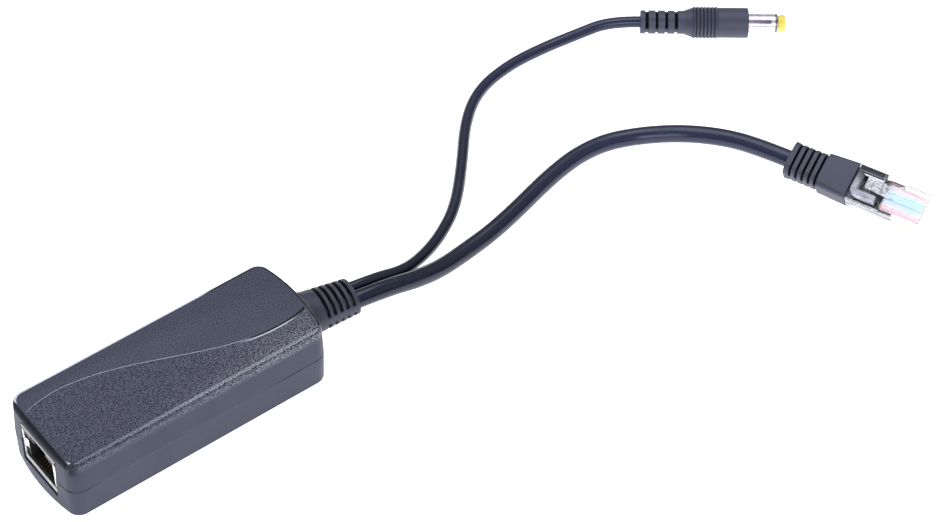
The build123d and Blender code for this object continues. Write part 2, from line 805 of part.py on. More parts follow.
def foot_profile(body_y, side, rise):
    """Bent leg that leaves a flat body at a rise and lands on the board."""
    shoulder = body_y + side * leg_shoulder
    ankle = shoulder + side * leg_slope
    sole = board_top + leg_thickness / 2
    with BuildLine(mode=Mode.PRIVATE) as bend:
        Polyline((body_y, board_top + rise), (shoulder, board_top + rise), (ankle, sole),
                 (ankle + side * leg_foot, sole))
    return bend.line


with BuildPart() as component_legs:
    for place, width, rise, count, pitch, leg_width in (
            (magnetics_place, magnetics_width, magnetics_leg_rise, magnetics_leg_count,
             magnetics_leg_pitch, magnetics_leg_width),
            (controller_place, controller_width, controller_leg_rise, controller_leg_count,
             controller_leg_pitch, controller_leg_width)):
        for side in (-1, 1):
            for index in range(count):
                x = place[0] + (index - (count - 1) / 2) * pitch
                with BuildSketch(Plane.YZ.offset(x)):
                    with BuildLine():
                        add(foot_profile(place[1] + side * width / 2, side, rise))
                    trace(line_width=leg_thickness)
                extrude(amount=leg_width / 2, both=True)
finish(component_legs, "component_legs")

core_bottom = board_top + transformer_stand
core_height = cavity_top - transformer_roof_gap - core_bottom
with BuildPart() as transformer_core:
    with BuildSketch(Plane.XZ.offset(-transformer_place[1])):
        with Locations((transformer_place[0], core_bottom + core_height / 2)):
            Rectangle(transformer_length, core_height)
            Rectangle(transformer_length - transformer_leg, core_height - transformer_leg,
                      mode=Mode.SUBTRACT)
    extrude(amount=transformer_leg, both=True)
    with BuildSketch(Plane.XY.offset(core_bottom)):
        with Locations(transformer_place):
            Circle(transformer_leg / 2)
    extrude(amount=core_height)
finish(transformer_core, "transformer_core")

winding_bottom = core_bottom + transformer_leg / 2 + pocket_clearance
winding_height = core_height - transformer_leg - 2 * pocket_clearance
bobbin_length = transformer_length - transformer_leg - winding_inset
bobbin_pin_y = transformer_width / 2 - bobbin_pin_width
with BuildPart() as transformer_winding:
    with BuildSketch(Plane.XY.offset(winding_bottom)):
        with Locations(transformer_place):
            Rectangle(bobbin_length, transformer_width)
    extrude(amount=bobbin_flange)
    with BuildSketch(Plane.XY.offset(winding_bottom + winding_height - bobbin_flange)):
        with Locations(transformer_place):
            Rectangle(bobbin_length, transformer_width - 2 * bobbin_step)
    extrude(amount=bobbin_flange)
    with BuildSketch(Plane.XY.offset(winding_bottom)):
        with Locations(transformer_place):
            Circle(bobbin_length / 2 - winding_inset)
    extrude(amount=winding_height)
    with BuildSketch(Plane.XY.offset(board_top)):
        for index in range(bobbin_pin_count):
            pin_x = transformer_place[0] + (index - (bobbin_pin_count - 1) / 2) * bobbin_pin_pitch
            with Locations((pin_x, transformer_place[1] - bobbin_pin_y),
                           (pin_x, transformer_place[1] + bobbin_pin_y)):
                Rectangle(bobbin_pin_width, bobbin_pin_width)
    extrude(amount=winding_bottom - board_top)
    with BuildSketch(Plane.XY.offset(winding_bottom)):
        with Locations(transformer_place):
            Circle(transformer_leg / 2 + pocket_clearance)
    extrude(amount=winding_height, mode=Mode.SUBTRACT)
finish(transformer_winding, "transformer_winding")


def can_profile(place, diameter, roof_gap):
    """Half section of a round capacitor: crimped end and bevelled top."""
    x = place[0]
    rim = x + diameter / 2
    crimp = board_top + crimp_start
    top = cavity_top - roof_gap
    with BuildSketch(Plane.XZ.offset(-place[1]), mode=Mode.PRIVATE) as section:
        with BuildLine():
            Polyline((x, board_top), (rim, board_top), (rim, crimp),
                     (rim - crimp_depth, crimp + crimp_width / 2), (rim, crimp + crimp_width),
                     (rim, top - capacitor_bevel), (rim - capacitor_bevel, top), (x, top),
                     (x, board_top))
        make_face()
    return section.sketch


for name, place, diameter, roof_gap in (
        ("input_capacitor", input_capacitor_place, input_capacitor_diameter,
         input_capacitor_roof_gap),
        ("output_capacitor", output_capacitor_place, output_capacitor_diameter,
         output_capacitor_roof_gap),
        ("filter_capacitor", filter_capacitor_place, filter_capacitor_diameter,
         filter_capacitor_roof_gap)):
    with BuildPart() as capacitor:
        revolve(can_profile(place, diameter, roof_gap), axis=Axis((*place, 0), (0, 0, 1)))
    finish(capacitor, name)

with BuildPart() as output_inductor:
    with BuildSketch(Plane.XZ.offset(-inductor_place[1])):
        with BuildLine():
            x = inductor_place[0]
            rim = x + inductor_diameter / 2
            top = board_top + inductor_height
            Polyline((x, board_top), (rim, board_top), (rim, board_top + inductor_flange),
                     (rim - inductor_waist_depth, board_top + inductor_flange),
                     (rim - inductor_waist_depth, top - inductor_flange),
                     (rim, top - inductor_flange), (rim, top), (x + inductor_recess_radius, top),
                     (x + inductor_recess_radius, top - inductor_recess_depth),
                     (x, top - inductor_recess_depth), (x, board_top))
        make_face()
    revolve(axis=Axis((*inductor_place, 0), (0, 0, 1)))
finish(output_inductor, "output_inductor")

with BuildPart() as chip_parts:
    with BuildSketch(Plane.XY.offset(board_top)):
        with Locations(*chip_part_places):
            Rectangle(chip_part_width, chip_part_length)
    extrude(amount=chip_part_height)
finish(chip_parts, "chip_parts")


def corner_radii(route):
    """Radius of each corner of a cable's route, as large as its two runs allow."""
    points = [Vector(*point) for point in route]
    radii = []
    for before, corner, after in zip(points, points[1:], points[2:]):
        turn = math.radians((corner - before).get_angle(after - corner))
        shorter = min((corner - before).length, (after - corner).length)
        radii.append(bend_share * shorter / math.tan(turn / 2))
    return radii


for name, route, diameter in (("data_cable", data_cable_route, data_cable_diameter),
                              ("power_cable", power_cable_route, power_cable_diameter)):
    radii = corner_radii(route)
    with BuildPart() as cable:
        with BuildLine() as centre_line:
            FilletPolyline(*route, radius=radii)
        path = centre_line.wire()
        with BuildSketch(Plane(route[0], z_dir=path % 0)):
            Circle(diameter / 2)
        sweep(path=path)
    finish(cable, name)
    swept = math.pi * (diameter / 2)**2 * path.length
    print(name, "length", round(path.length, 2),
          "volume", round(cable.part.volume, 1), "section by length", round(swept, 1),
          "radii", [round(radius, 1) for radius in radii])

# Barrel plug: moulded body, metal barrel, coloured sleeve and inner contact
power_yaw = math.radians(power_plug_yaw)
power_axis = Vector(math.cos(power_yaw), math.sin(power_yaw), 0)
power_rear = Vector(*power_cable_route[-1]) + power_axis * cable_seat
power_section = Plane(power_rear, x_dir=power_axis,
                      z_dir=(math.sin(power_yaw), -math.cos(power_yaw), 0))
power_turn = Axis(power_rear, power_axis)
power_across = Plane(power_rear, x_dir=(-math.sin(power_yaw), math.cos(power_yaw), 0),
                     z_dir=power_axis)
bore_radius = barrel_collar_radius + sleeve_clearance


def turned(*outline):
    """Half section about the barrel plug's axis, as distance along and radius."""
    with BuildSketch(power_section, mode=Mode.PRIVATE) as section:
        with BuildLine():
            Polyline(*outline, outline[0])
        make_face()
    return section.sketch


rings_start = cone_end
rings_end = rings_start + grip_ring_count * grip_ring_pitch
ring_outline = []
for number in range(grip_ring_count):
    place = rings_start + number * grip_ring_pitch
    ring_outline += [(place, grip_radius - grip_groove_depth),
                     (place + grip_ring_pitch / 2, grip_radius)]

with BuildPart() as power_plug_body:
    revolve(turned((0, 0), (0, rib_core_radius), (relief_rib_spans[-1][1], rib_core_radius),
                   (relief_rib_spans[-1][1], rib_radius),
                   (cone_end, grip_radius - grip_groove_depth), *ring_outline[1:],
                   (rings_end, grip_radius - grip_groove_depth),
                   (rings_end, nose_radius), (nose_end - nose_edge_radius, nose_radius),
                   (nose_end, nose_radius - nose_edge_radius), (nose_end, bore_radius),
                   (barrel_root, bore_radius), (barrel_root, 0)), axis=power_turn)
    for low, high in relief_rib_spans:
        revolve(turned((low, 0), (low, rib_radius), (high, rib_radius), (high, 0)),
                axis=power_turn)
    with BuildSketch(power_across):
        Rectangle(relief_web_width, relief_web_thickness, rotation=relief_web_roll)
    extrude(amount=cone_end)
finish(power_plug_body, "power_plug_body")

barrel_bore = barrel_radius - barrel_wall
with BuildPart() as power_plug_barrel:
    revolve(turned((barrel_root, barrel_bore), (barrel_root, barrel_collar_radius),
                   (nose_end + barrel_collar_stand, barrel_collar_radius),
                   (nose_end + barrel_collar_stand, barrel_radius),
                   (barrel_end - barrel_bevel, barrel_radius),
                   (barrel_end, barrel_radius - barrel_bevel), (barrel_end, barrel_bore)),
            axis=power_turn)
finish(power_plug_barrel, "power_plug_barrel")

sleeve_radius = barrel_bore - sleeve_clearance
sleeve_bore = sleeve_radius - sleeve_wall
with BuildPart() as power_plug_sleeve:
    revolve(turned((barrel_root, sleeve_bore), (barrel_root, sleeve_radius),
                   (tip_start, sleeve_radius), (tip_start, tip_radius),
                   (tip_end - barrel_bevel, tip_radius), (tip_end, tip_radius - barrel_bevel),
                   (tip_end, sleeve_bore)), axis=power_turn)
finish(power_plug_sleeve, "power_plug_sleeve")

inner_contact_radius = sleeve_bore - sleeve_clearance
inner_contact_bore = inner_contact_radius - inner_contact_wall
with BuildPart() as power_plug_contact:
    revolve(turned((barrel_root, inner_contact_bore), (barrel_root, inner_contact_radius),
                   (tip_end - inner_contact_setback, inner_contact_radius),
                   (tip_end - inner_contact_setback, inner_contact_bore)), axis=power_turn)
finish(power_plug_contact, "power_plug_contact")

# Data plug: its own plane has X across, Y up through the latch and Z towards the nose
plug_yaw = math.radians(data_plug_yaw)
plug_roll = math.radians(data_plug_roll)
plug_axis = Vector(math.cos(plug_yaw), math.sin(plug_yaw), 0)
plug_side = Vector(-math.sin(plug_yaw), math.cos(plug_yaw), 0)
plug_across = plug_side * math.cos(plug_roll) + Vector(0, 0, math.sin(plug_roll))
block_end = plug_length + boot_block_length
boot_end = block_end + boot_relief_length
data_plug_nose = Vector(*data_cable_route[-1]) + plug_axis * (boot_end + cable_seat)
nose_plane = Plane(data_plug_nose, x_dir=plug_across, z_dir=plug_axis)


def plug_plane(back, rise=0.0):
    """Plane across the data plug at a distance behind its nose."""
    return Plane(nose_plane.from_local_coords((0, rise, -back)),
                 x_dir=nose_plane.x_dir, z_dir=nose_plane.z_dir)


def level_plane(rise):
    """Plane level with the data plug's latch, X towards the nose and Y across."""
    return Plane(nose_plane.from_local_coords((0, rise, 0)),
                 x_dir=nose_plane.z_dir, z_dir=nose_plane.y_dir)


# Side view of the data plug: X towards the nose and Y up through the latch
side_plane = Plane(data_plug_nose, x_dir=nose_plane.z_dir, z_dir=-nose_plane.x_dir)
latch_level = plug_height / 2
wire_rows = [(index - (contact_count - 1) / 2) * contact_pitch
             for index in range(contact_count)]
wire_pocket_width = wire_rows[-1] - wire_rows[0] + plug_wire_diameter + 2 * pocket_clearance

with BuildPart() as data_plug_housing:
    with BuildSketch(plug_plane(plug_length)):
        Rectangle(plug_width, plug_height)
    extrude(amount=plug_length)
    chamfer(data_plug_housing.edges(), plug_edge_radius)
    with BuildSketch(plug_plane(plug_length)):
        RectangleRounded(plug_pocket_width, plug_pocket_height, plug_edge_radius)
    extrude(amount=plug_length - wire_pocket_start, mode=Mode.SUBTRACT)
    with BuildSketch(plug_plane(wire_pocket_start)):
        with Locations((-plug_pocket_width / 2 + prong_width / 2 + pocket_clearance, 0),
                       (plug_pocket_width / 2 - prong_width / 2 - pocket_clearance, 0)):
            Rectangle(prong_width + 2 * pocket_clearance,
                      plug_pocket_height - 2 * plug_edge_radius)
    extrude(amount=wire_pocket_start - prong_end, mode=Mode.SUBTRACT)
    with BuildSketch(plug_plane(wire_pocket_start)):
        Rectangle(wire_pocket_width, plug_wire_diameter + 2 * pocket_clearance)
    extrude(amount=wire_pocket_start - wire_pocket_end, mode=Mode.SUBTRACT)
    with BuildSketch(level_plane(-latch_level)):
        for row in wire_rows:
            with Locations((-blade_setback - blade_length / 2, row)):
                Rectangle(blade_length + 2 * pocket_clearance, blade_slot_width)
    extrude(amount=latch_level, mode=Mode.SUBTRACT)
    with BuildSketch(side_plane):
        with BuildLine():
            Polyline((-latch_root, latch_level - latch_root_drop),
                     (-latch_root - latch_lead_in, latch_level),
                     (-latch_tail_place, latch_level + latch_tail_rise),
                     (-latch_tail_place, latch_level + latch_tail_rise + latch_thickness),
                     (-latch_neck_place, latch_level + latch_neck_rise),
                     (-latch_root - latch_root_step, latch_level + latch_root_step),
                     (-latch_root, latch_level - latch_root_drop))
        make_face()
    extrude(amount=latch_root_width / 2, both=True)
    with BuildSketch(level_plane(latch_level)):
        for side in (-1, 1):
            with BuildLine():
                Polyline((-latch_neck_place, side * latch_root_width),
                         (-latch_neck_place, side * latch_root_width / 2),
                         (-latch_neck_place - latch_lead_in, side * latch_neck_width / 2),
                         (-latch_tail_place - latch_thickness, side * latch_neck_width / 2),
                         (-latch_tail_place - latch_thickness, side * latch_root_width),
                         (-latch_neck_place, side * latch_root_width))
            make_face()
    extrude(amount=2 * latch_tail_rise, mode=Mode.SUBTRACT)
    with BuildSketch(level_plane(latch_level)) as guard:
        with Locations((-(guard_front + guard_rear) / 2, 0)):
            Rectangle(guard_rear - guard_front, guard_width)
        fillet(guard.vertices().sort_by(Axis.X)[:2], guard_wall)
        with Locations((-guard_front, 0)):
            Rectangle(2 * (guard_rear - guard_front - guard_wall), guard_width - 2 * guard_wall,
                      mode=Mode.SUBTRACT)
    extrude(amount=guard_rise)
finish(data_plug_housing, "data_plug_housing")

blade_top = -(plug_wire_diameter / 2 + pocket_clearance)
blade_bottom = -latch_level + blade_recess
with BuildPart() as data_plug_contacts:
    with BuildSketch(level_plane(blade_bottom)):
        for row in wire_rows:
            with Locations((-blade_setback - blade_length / 2, row)):
                Rectangle(blade_length, blade_thickness)
    extrude(amount=blade_top - blade_bottom)
finish(data_plug_contacts, "data_plug_contacts")

with BuildPart() as data_plug_wires:
    with BuildSketch(plug_plane(wire_pocket_start)):
        for row in wire_rows:
            with Locations((row, 0)):
                Circle(plug_wire_diameter / 2)
    extrude(amount=wire_pocket_start - wire_pocket_end - pocket_clearance)
finish(data_plug_wires, "data_plug_wires")

jacket_width = plug_pocket_width - 2 * pocket_clearance
jacket_height = plug_pocket_height - 2 * plug_edge_radius - 2 * pocket_clearance
with BuildPart() as data_plug_jacket:
    with BuildSketch(plug_plane(plug_length - boot_tongue)):
        RectangleRounded(jacket_width, jacket_height, (jacket_height - jacket_side_flat) / 2)
    extrude(amount=plug_length - boot_tongue - wire_pocket_start)
    with BuildSketch(plug_plane(wire_pocket_start + prong_width)):
        with Locations((-(jacket_width - prong_width) / 2, 0),
                       ((jacket_width - prong_width) / 2, 0)):
            Rectangle(prong_width, jacket_height / 2)
    extrude(amount=wire_pocket_start + prong_width - prong_end - pocket_clearance)
finish(data_plug_jacket, "data_plug_jacket")


def boot_section(back, width, top, bottom, radius):
    """Rounded section of the boot at a distance behind the nose."""
    with BuildSketch(plug_plane(back, (top - bottom) / 2), mode=Mode.PRIVATE) as section:
        RectangleRounded(width, top + bottom, radius)
    return section.sketch


with BuildPart() as data_plug_boot:
    loft([boot_section(plug_length, boot_front_width, boot_front_top, boot_front_bottom,
                       boot_front_radius),
          boot_section(block_end, boot_rear_width, boot_rear_top, boot_rear_bottom,
                       boot_rear_radius)])
    with BuildSketch(plug_plane(plug_length)):
        RectangleRounded(plug_pocket_width - 2 * pocket_clearance,
                         plug_pocket_height - 2 * pocket_clearance, plug_edge_radius)
    extrude(amount=boot_tongue)
    extrude(boot_section(boot_end, boot_relief_width, boot_relief_height / 2,
                         boot_relief_height / 2, boot_relief_radius),
            amount=boot_relief_length)
    for number in range(boot_groove_count):
        back = block_end + boot_groove_start + number * boot_groove_pitch + boot_groove_width
        with BuildSketch(plug_plane(back)):
            Rectangle(2 * boot_relief_width, 2 * boot_relief_height)
            Rectangle(boot_relief_width - 2 * boot_groove_depth,
                      boot_relief_height - 2 * boot_groove_depth, mode=Mode.SUBTRACT)
            Rectangle(2 * boot_relief_width, boot_web_width, mode=Mode.SUBTRACT)
        extrude(amount=boot_groove_width, mode=Mode.SUBTRACT)
    extrude(boot_section(boot_end, boot_flange_width, boot_flange_height / 2,
                         boot_flange_height / 2, boot_relief_radius),
            amount=boot_flange_thickness)
finish(data_plug_boot, "data_plug_boot")
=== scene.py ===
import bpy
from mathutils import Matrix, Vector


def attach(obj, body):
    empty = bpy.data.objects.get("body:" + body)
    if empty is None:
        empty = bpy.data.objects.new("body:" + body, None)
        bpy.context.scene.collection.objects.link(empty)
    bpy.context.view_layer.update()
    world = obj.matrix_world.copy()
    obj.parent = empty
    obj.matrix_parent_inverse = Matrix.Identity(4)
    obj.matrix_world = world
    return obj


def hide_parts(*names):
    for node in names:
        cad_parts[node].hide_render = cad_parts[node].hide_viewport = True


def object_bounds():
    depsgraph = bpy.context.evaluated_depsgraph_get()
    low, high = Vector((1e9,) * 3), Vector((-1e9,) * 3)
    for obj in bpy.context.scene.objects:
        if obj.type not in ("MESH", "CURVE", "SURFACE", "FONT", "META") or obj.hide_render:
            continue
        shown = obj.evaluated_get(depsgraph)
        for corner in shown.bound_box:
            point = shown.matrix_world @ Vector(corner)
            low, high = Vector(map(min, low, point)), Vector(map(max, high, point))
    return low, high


bl_info = {
    "name": "Inline power-over-cable converter",
    "version": (1, 0, 0),
    "blender": (4, 5, 0),
    "location": "3D View > Sidebar > Converter",
    "description": "Finishes the cased converter, its two cables and their plugs",
    "category": "Object",
}

import math

import bmesh
import bpy
from bpy.props import FloatProperty, FloatVectorProperty, PointerProperty
from mathutils import Vector

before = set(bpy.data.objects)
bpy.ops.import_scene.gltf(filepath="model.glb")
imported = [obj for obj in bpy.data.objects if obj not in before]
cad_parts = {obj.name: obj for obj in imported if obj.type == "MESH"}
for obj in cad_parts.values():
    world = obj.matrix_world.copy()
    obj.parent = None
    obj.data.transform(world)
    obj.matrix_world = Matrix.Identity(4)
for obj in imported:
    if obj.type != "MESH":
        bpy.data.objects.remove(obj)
CAD_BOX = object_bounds()
MM = 0.001
UP = Vector((0.0, 0.0, 1.0))

# The case, in millimetres like every place of the object below. A surface counts as being
# at one of its heights when it is no further off than the play
CASE_LENGTH = 82.0
CASE_WIDTH = 30.6
CASE_TOP = CAD_BOX[1][2] / MM
PARTING_HEIGHT = 9.9
SEAM_HALF_HEIGHT = 0.3
SILL_HEIGHT = 3.45
LEVEL_PLAY = 0.03

# The sunken field on its top: its depth, and its edge in shares of length and width
FIELD_DEPTH = 0.25
FIELD_EDGE = ((0.0, 0.705), (0.115, 0.805), (0.28, 0.77), (0.505, 0.56), (0.74, 0.33),
              (0.915, 0.295), (1.0, 0.35))
FIELD_EDGE_ROUNDING = 0.2 * MM

# Where the painted light and shade on the case change, in millimetres from its jack end
SEAM_SHADE_TO = 2.5
SEAM_LIGHT_STARTS = (5.0, 13.0)
SEAM_LIGHT_ENDS = (68.0, 59.0)
WALL_LIGHT_TURNS_TO_SHADOW = (60.0, 64.0)
FOOT_LIGHT_AND_SHADOW_START = (59.0, 65.0)
FOOT_LIGHT_ENDS = (78.0, 72.0)
GRIT_GLINTS_GROW = (41.0, 79.0)
NEAR_GRIT_GLINTS_GROW = (21.0, 51.0)
RIM_HIGHLIGHT_GROWS = (3.0, 46.0)
FAR_EDGE_SHADE_GROWS = (17.0, 5.0)

# Heights on the jack's shield: its dull foot, and the tabs at its top, which carry painted
# shade
SHIELD_FOOT = 5.0
SHIELD_TABS = 14.9
SHIELD_TABS_LIT = 16.2

# The relief on the case leaves it turned and drooping a little, and tapers to its tip.
# Every groove's painted shade turns from black to none between the two values given for it
RELIEF_YAW = math.radians(-6.7)
RELIEF_DROOP = math.radians(2.5)
RELIEF_ROOT = Vector((42.0, 0.0, 10.0))
RELIEF_AXIS = Vector((math.cos(RELIEF_YAW) * math.cos(RELIEF_DROOP),
                      math.sin(RELIEF_YAW) * math.cos(RELIEF_DROOP),
                      -math.sin(RELIEF_DROOP)))
RELIEF_ACROSS = Vector((-math.sin(RELIEF_YAW), math.cos(RELIEF_YAW), 0.0))
RELIEF_UP = RELIEF_AXIS.cross(RELIEF_ACROSS)
RELIEF_LENGTH = 14.4
RELIEF_HALF_WIDTH = 6.75
RELIEF_HALF_HEIGHT = 5.45
RELIEF_TAPER = 0.0118
RELIEF_GROOVE_SHARES = (0.86, 0.97)

# The barrel plug lies flat; its stretches are measured along it from its rear
BARREL_PLUG_YAW = math.radians(-38.1)
BARREL_PLUG_REAR = Vector((190.0, 38.7, 4.7))
BARREL_PLUG_AXIS = Vector((math.cos(BARREL_PLUG_YAW), math.sin(BARREL_PLUG_YAW), 0.0))
BARREL_PLUG_ACROSS = Vector((-math.sin(BARREL_PLUG_YAW), math.cos(BARREL_PLUG_YAW), 0.0))
BARREL_PLUG_RIBS = (0.1, 12.7)
BARREL_PLUG_RINGS = (15.3, 22.6)
RIB_GROOVE_RADII = (2.3, 3.2)
RING_GROOVE_RADII = (4.4, 4.62)
BARREL_START = 31.7
BARREL_END = 40.5

# The data plug's nose, its turn on the table and how far it lies tipped over
DATA_PLUG_NOSE = Vector((202.0, -70.3, 5.9))
DATA_PLUG_YAW = math.radians(-68.0)
DATA_PLUG_ROLL = math.radians(25.0)
DATA_PLUG_ACROSS = Vector((-math.sin(DATA_PLUG_YAW) * math.cos(DATA_PLUG_ROLL),
                           math.cos(DATA_PLUG_YAW) * math.cos(DATA_PLUG_ROLL),
                           math.sin(DATA_PLUG_ROLL)))
DATA_PLUG_BACK = -Vector((math.cos(DATA_PLUG_YAW), math.sin(DATA_PLUG_YAW), 0.0))
DATA_PLUG_UP = DATA_PLUG_ACROSS.cross(DATA_PLUG_BACK)
PLUG_ROOF = 3.3
PLUG_WALL = 5.5
LATCH_HALF_WIDTH = 2.6
LATCH_END = 18.5
WIRE_PITCH = 1.02

# The boot behind it: a rounded box with a flat core, grooved over one stretch
BOOT_CORE_HALF_WIDTH = 2.5
BOOT_CORE_HALF_HEIGHT = 1.3
BOOT_RADIUS = 2.5
BOOT_GROOVES = (31.1, 41.2)
BOOT_GROOVE_DEPTHS = (0.15, 0.7)

# Routes of the two cables, from the gland's end to the plugs, and where painted light makes
# them paler
CABLES_PAINTED_LIGHTER = (90.0, 165.0)
DATA_CABLE_DIAMETER = 5.1 * MM
DATA_CABLE_ROUTE = [
    (56.082, -3.517, 9.371), (66.004, -4.683, 8.935), (75.0, -5.1, 6.5), (84.0, -4.2, 3.9),
    (94.0, -2.3, 2.55), (108.0, -0.3, 2.55), (135.5, 7.8, 2.55), (150.0, 8.2, 2.55),
    (161.0, 3.9, 2.55), (171.4, -3.3, 3.0), (179.0, -13.4, 4.5), (183.165, -23.682, 5.9),
    (186.53, -32.01, 5.9),
]
POWER_CABLE_DIAMETER = 3.4 * MM
POWER_CABLE_ROUTE = [
    (56.607, 0.952, 9.371), (65.507, -0.093, 8.98), (74.5, -0.4, 6.2), (83.5, 2.9, 3.3),
    (92.5, 7.2, 1.7), (102.5, 13.4, 1.7), (113.0, 24.3, 1.7), (126.0, 39.6, 1.7),
    (137.0, 47.3, 1.7), (150.0, 50.0, 1.7), (162.0, 49.6, 1.8), (173.0, 47.2, 3.0),
    (182.902, 44.266, 4.7), (190.0, 38.7, 4.7),
]

# Colours of light and shadow on the case, and the tint of what the plastics reflect
BLUE_GLOSS = (0.79, 0.86, 1.0, 1.0)
JACKET_GLOSS = (0.72, 0.8, 1.0, 1.0)
SHADOW = (0.001, 0.001, 0.001)
# Painted shade, black, in grooves, in the seam at the jack and on the inner sill
PAINTED_GROOVE_SHADE = (0.0005, 0.0005, 0.0008)
LIT_WALL = (0.7, 0.73, 0.88)
LIT_FOOT = (0.7, 0.72, 0.8)
LIT_GRAIN = (0.078, 0.082, 0.13)
LIT_GRIT = (0.08, 0.08, 0.142)
# Pale grit specks, which also serve as painted glints where they thicken
GRIT_SPECKS_AND_GLINTS = (0.3, 0.3, 0.36)
# Painted highlight on the near rim
RIM_HIGHLIGHT = (0.42, 0.44, 0.52)
# Painted light that hides the seam's shade
SEAM_PAINTED_LIGHT = (0.075, 0.083, 0.125)
# Painted light on the sill under the jack
SILL_PAINTED_LIGHT = (0.2, 0.2, 0.29)

# Noise scales, in features per metre, and depths of grain
FINE_GRAIN = 4200.0
CLOUDS = 120.0
CASE_TOP_GRAIN = 0.06 * MM
CASE_BOTTOM_GRAIN = 0.03 * MM

# How the copies of CAD nodes are merged and shaded
MERGE_DISTANCE = 0.002 * MM
FLAT_ANGLE = math.radians(0.5)
SHARP_ANGLE = math.radians(30.0)

# The camera stands where the photograph was taken from
CAMERA_AZIMUTH = math.radians(-37.25)
CAMERA_ELEVATION = math.radians(47.26)
CAMERA_DISTANCE = 0.799
CAMERA_TARGET = Vector((0.0946, -0.0039, 0.0))
CAMERA_LENS = 111.45
CAMERA_SENSOR = 36.0
CAMERA_CLIP = 0.01

# Floor, sky and lights of the stage, in metres and watts
FLOOR_SIZE = 12.0
FLOOR_PLACE = (0.1, 0.0, 0.0)
FLOOR_GLOW = 1.1
SKY_COLOUR = (0.94, 0.97, 1.0, 1.0)
SKY_RISE = {"From Min": 0.05, "From Max": 0.6, "To Min": 0.08, "To Max": 0.64}
LIGHTS = (("overhead light", (0.2, 0.35, 1.1), 0.9, 6.0),
          ("camera side light", (-0.5, -1.0, 0.55), 0.7, 5.0))


class Signal:
    """A number running between shader nodes: Python arithmetic on it adds Math nodes."""

    def __init__(self, finish, socket):
        self.finish = finish
        self.socket = socket

    def math(self, operation, *others):
        """A Math node on this number and any others."""
        values = dict(enumerate((self, *others)))
        return self.finish.node("ShaderNodeMath", {"operation": operation}, values)

    def __add__(self, other):
        return self.math("ADD", other)

    __radd__ = __add__

    def __sub__(self, other):
        return self.math("SUBTRACT", other)

    def __rsub__(self, other):
        return self.finish.node("ShaderNodeMath", {"operation": "SUBTRACT"},
                                {0: other, 1: self})

    def __mul__(self, other):
        return self.math("MULTIPLY", other)

    __rmul__ = __mul__

    def __truediv__(self, other):
        return self.math("DIVIDE", other)

    def __gt__(self, other):
        return self.math("GREATER_THAN", other)

    def __lt__(self, other):
        return self.math("LESS_THAN", other)

    def __abs__(self):
        return self.math("ABSOLUTE")

    def root(self):
        """Square root."""
        return self.math("SQRT")

    def most(self, other):
        """The larger of two numbers."""
        return self.math("MAXIMUM", other)

    def between(self, low, high):
        """1 from low to high, and 0 outside."""
        return (self > low) * (self < high)

    def ramp(self, low, high, start=0.0, end=1.0):
        """Smooth step from start to end as this number goes from low to high."""
        return self.finish.node(
            "ShaderNodeMapRange", {"interpolation_type": "SMOOTHSTEP"},
            {"Value": self, "From Min": low, "From Max": high, "To Min": start,
             "To Max": end})


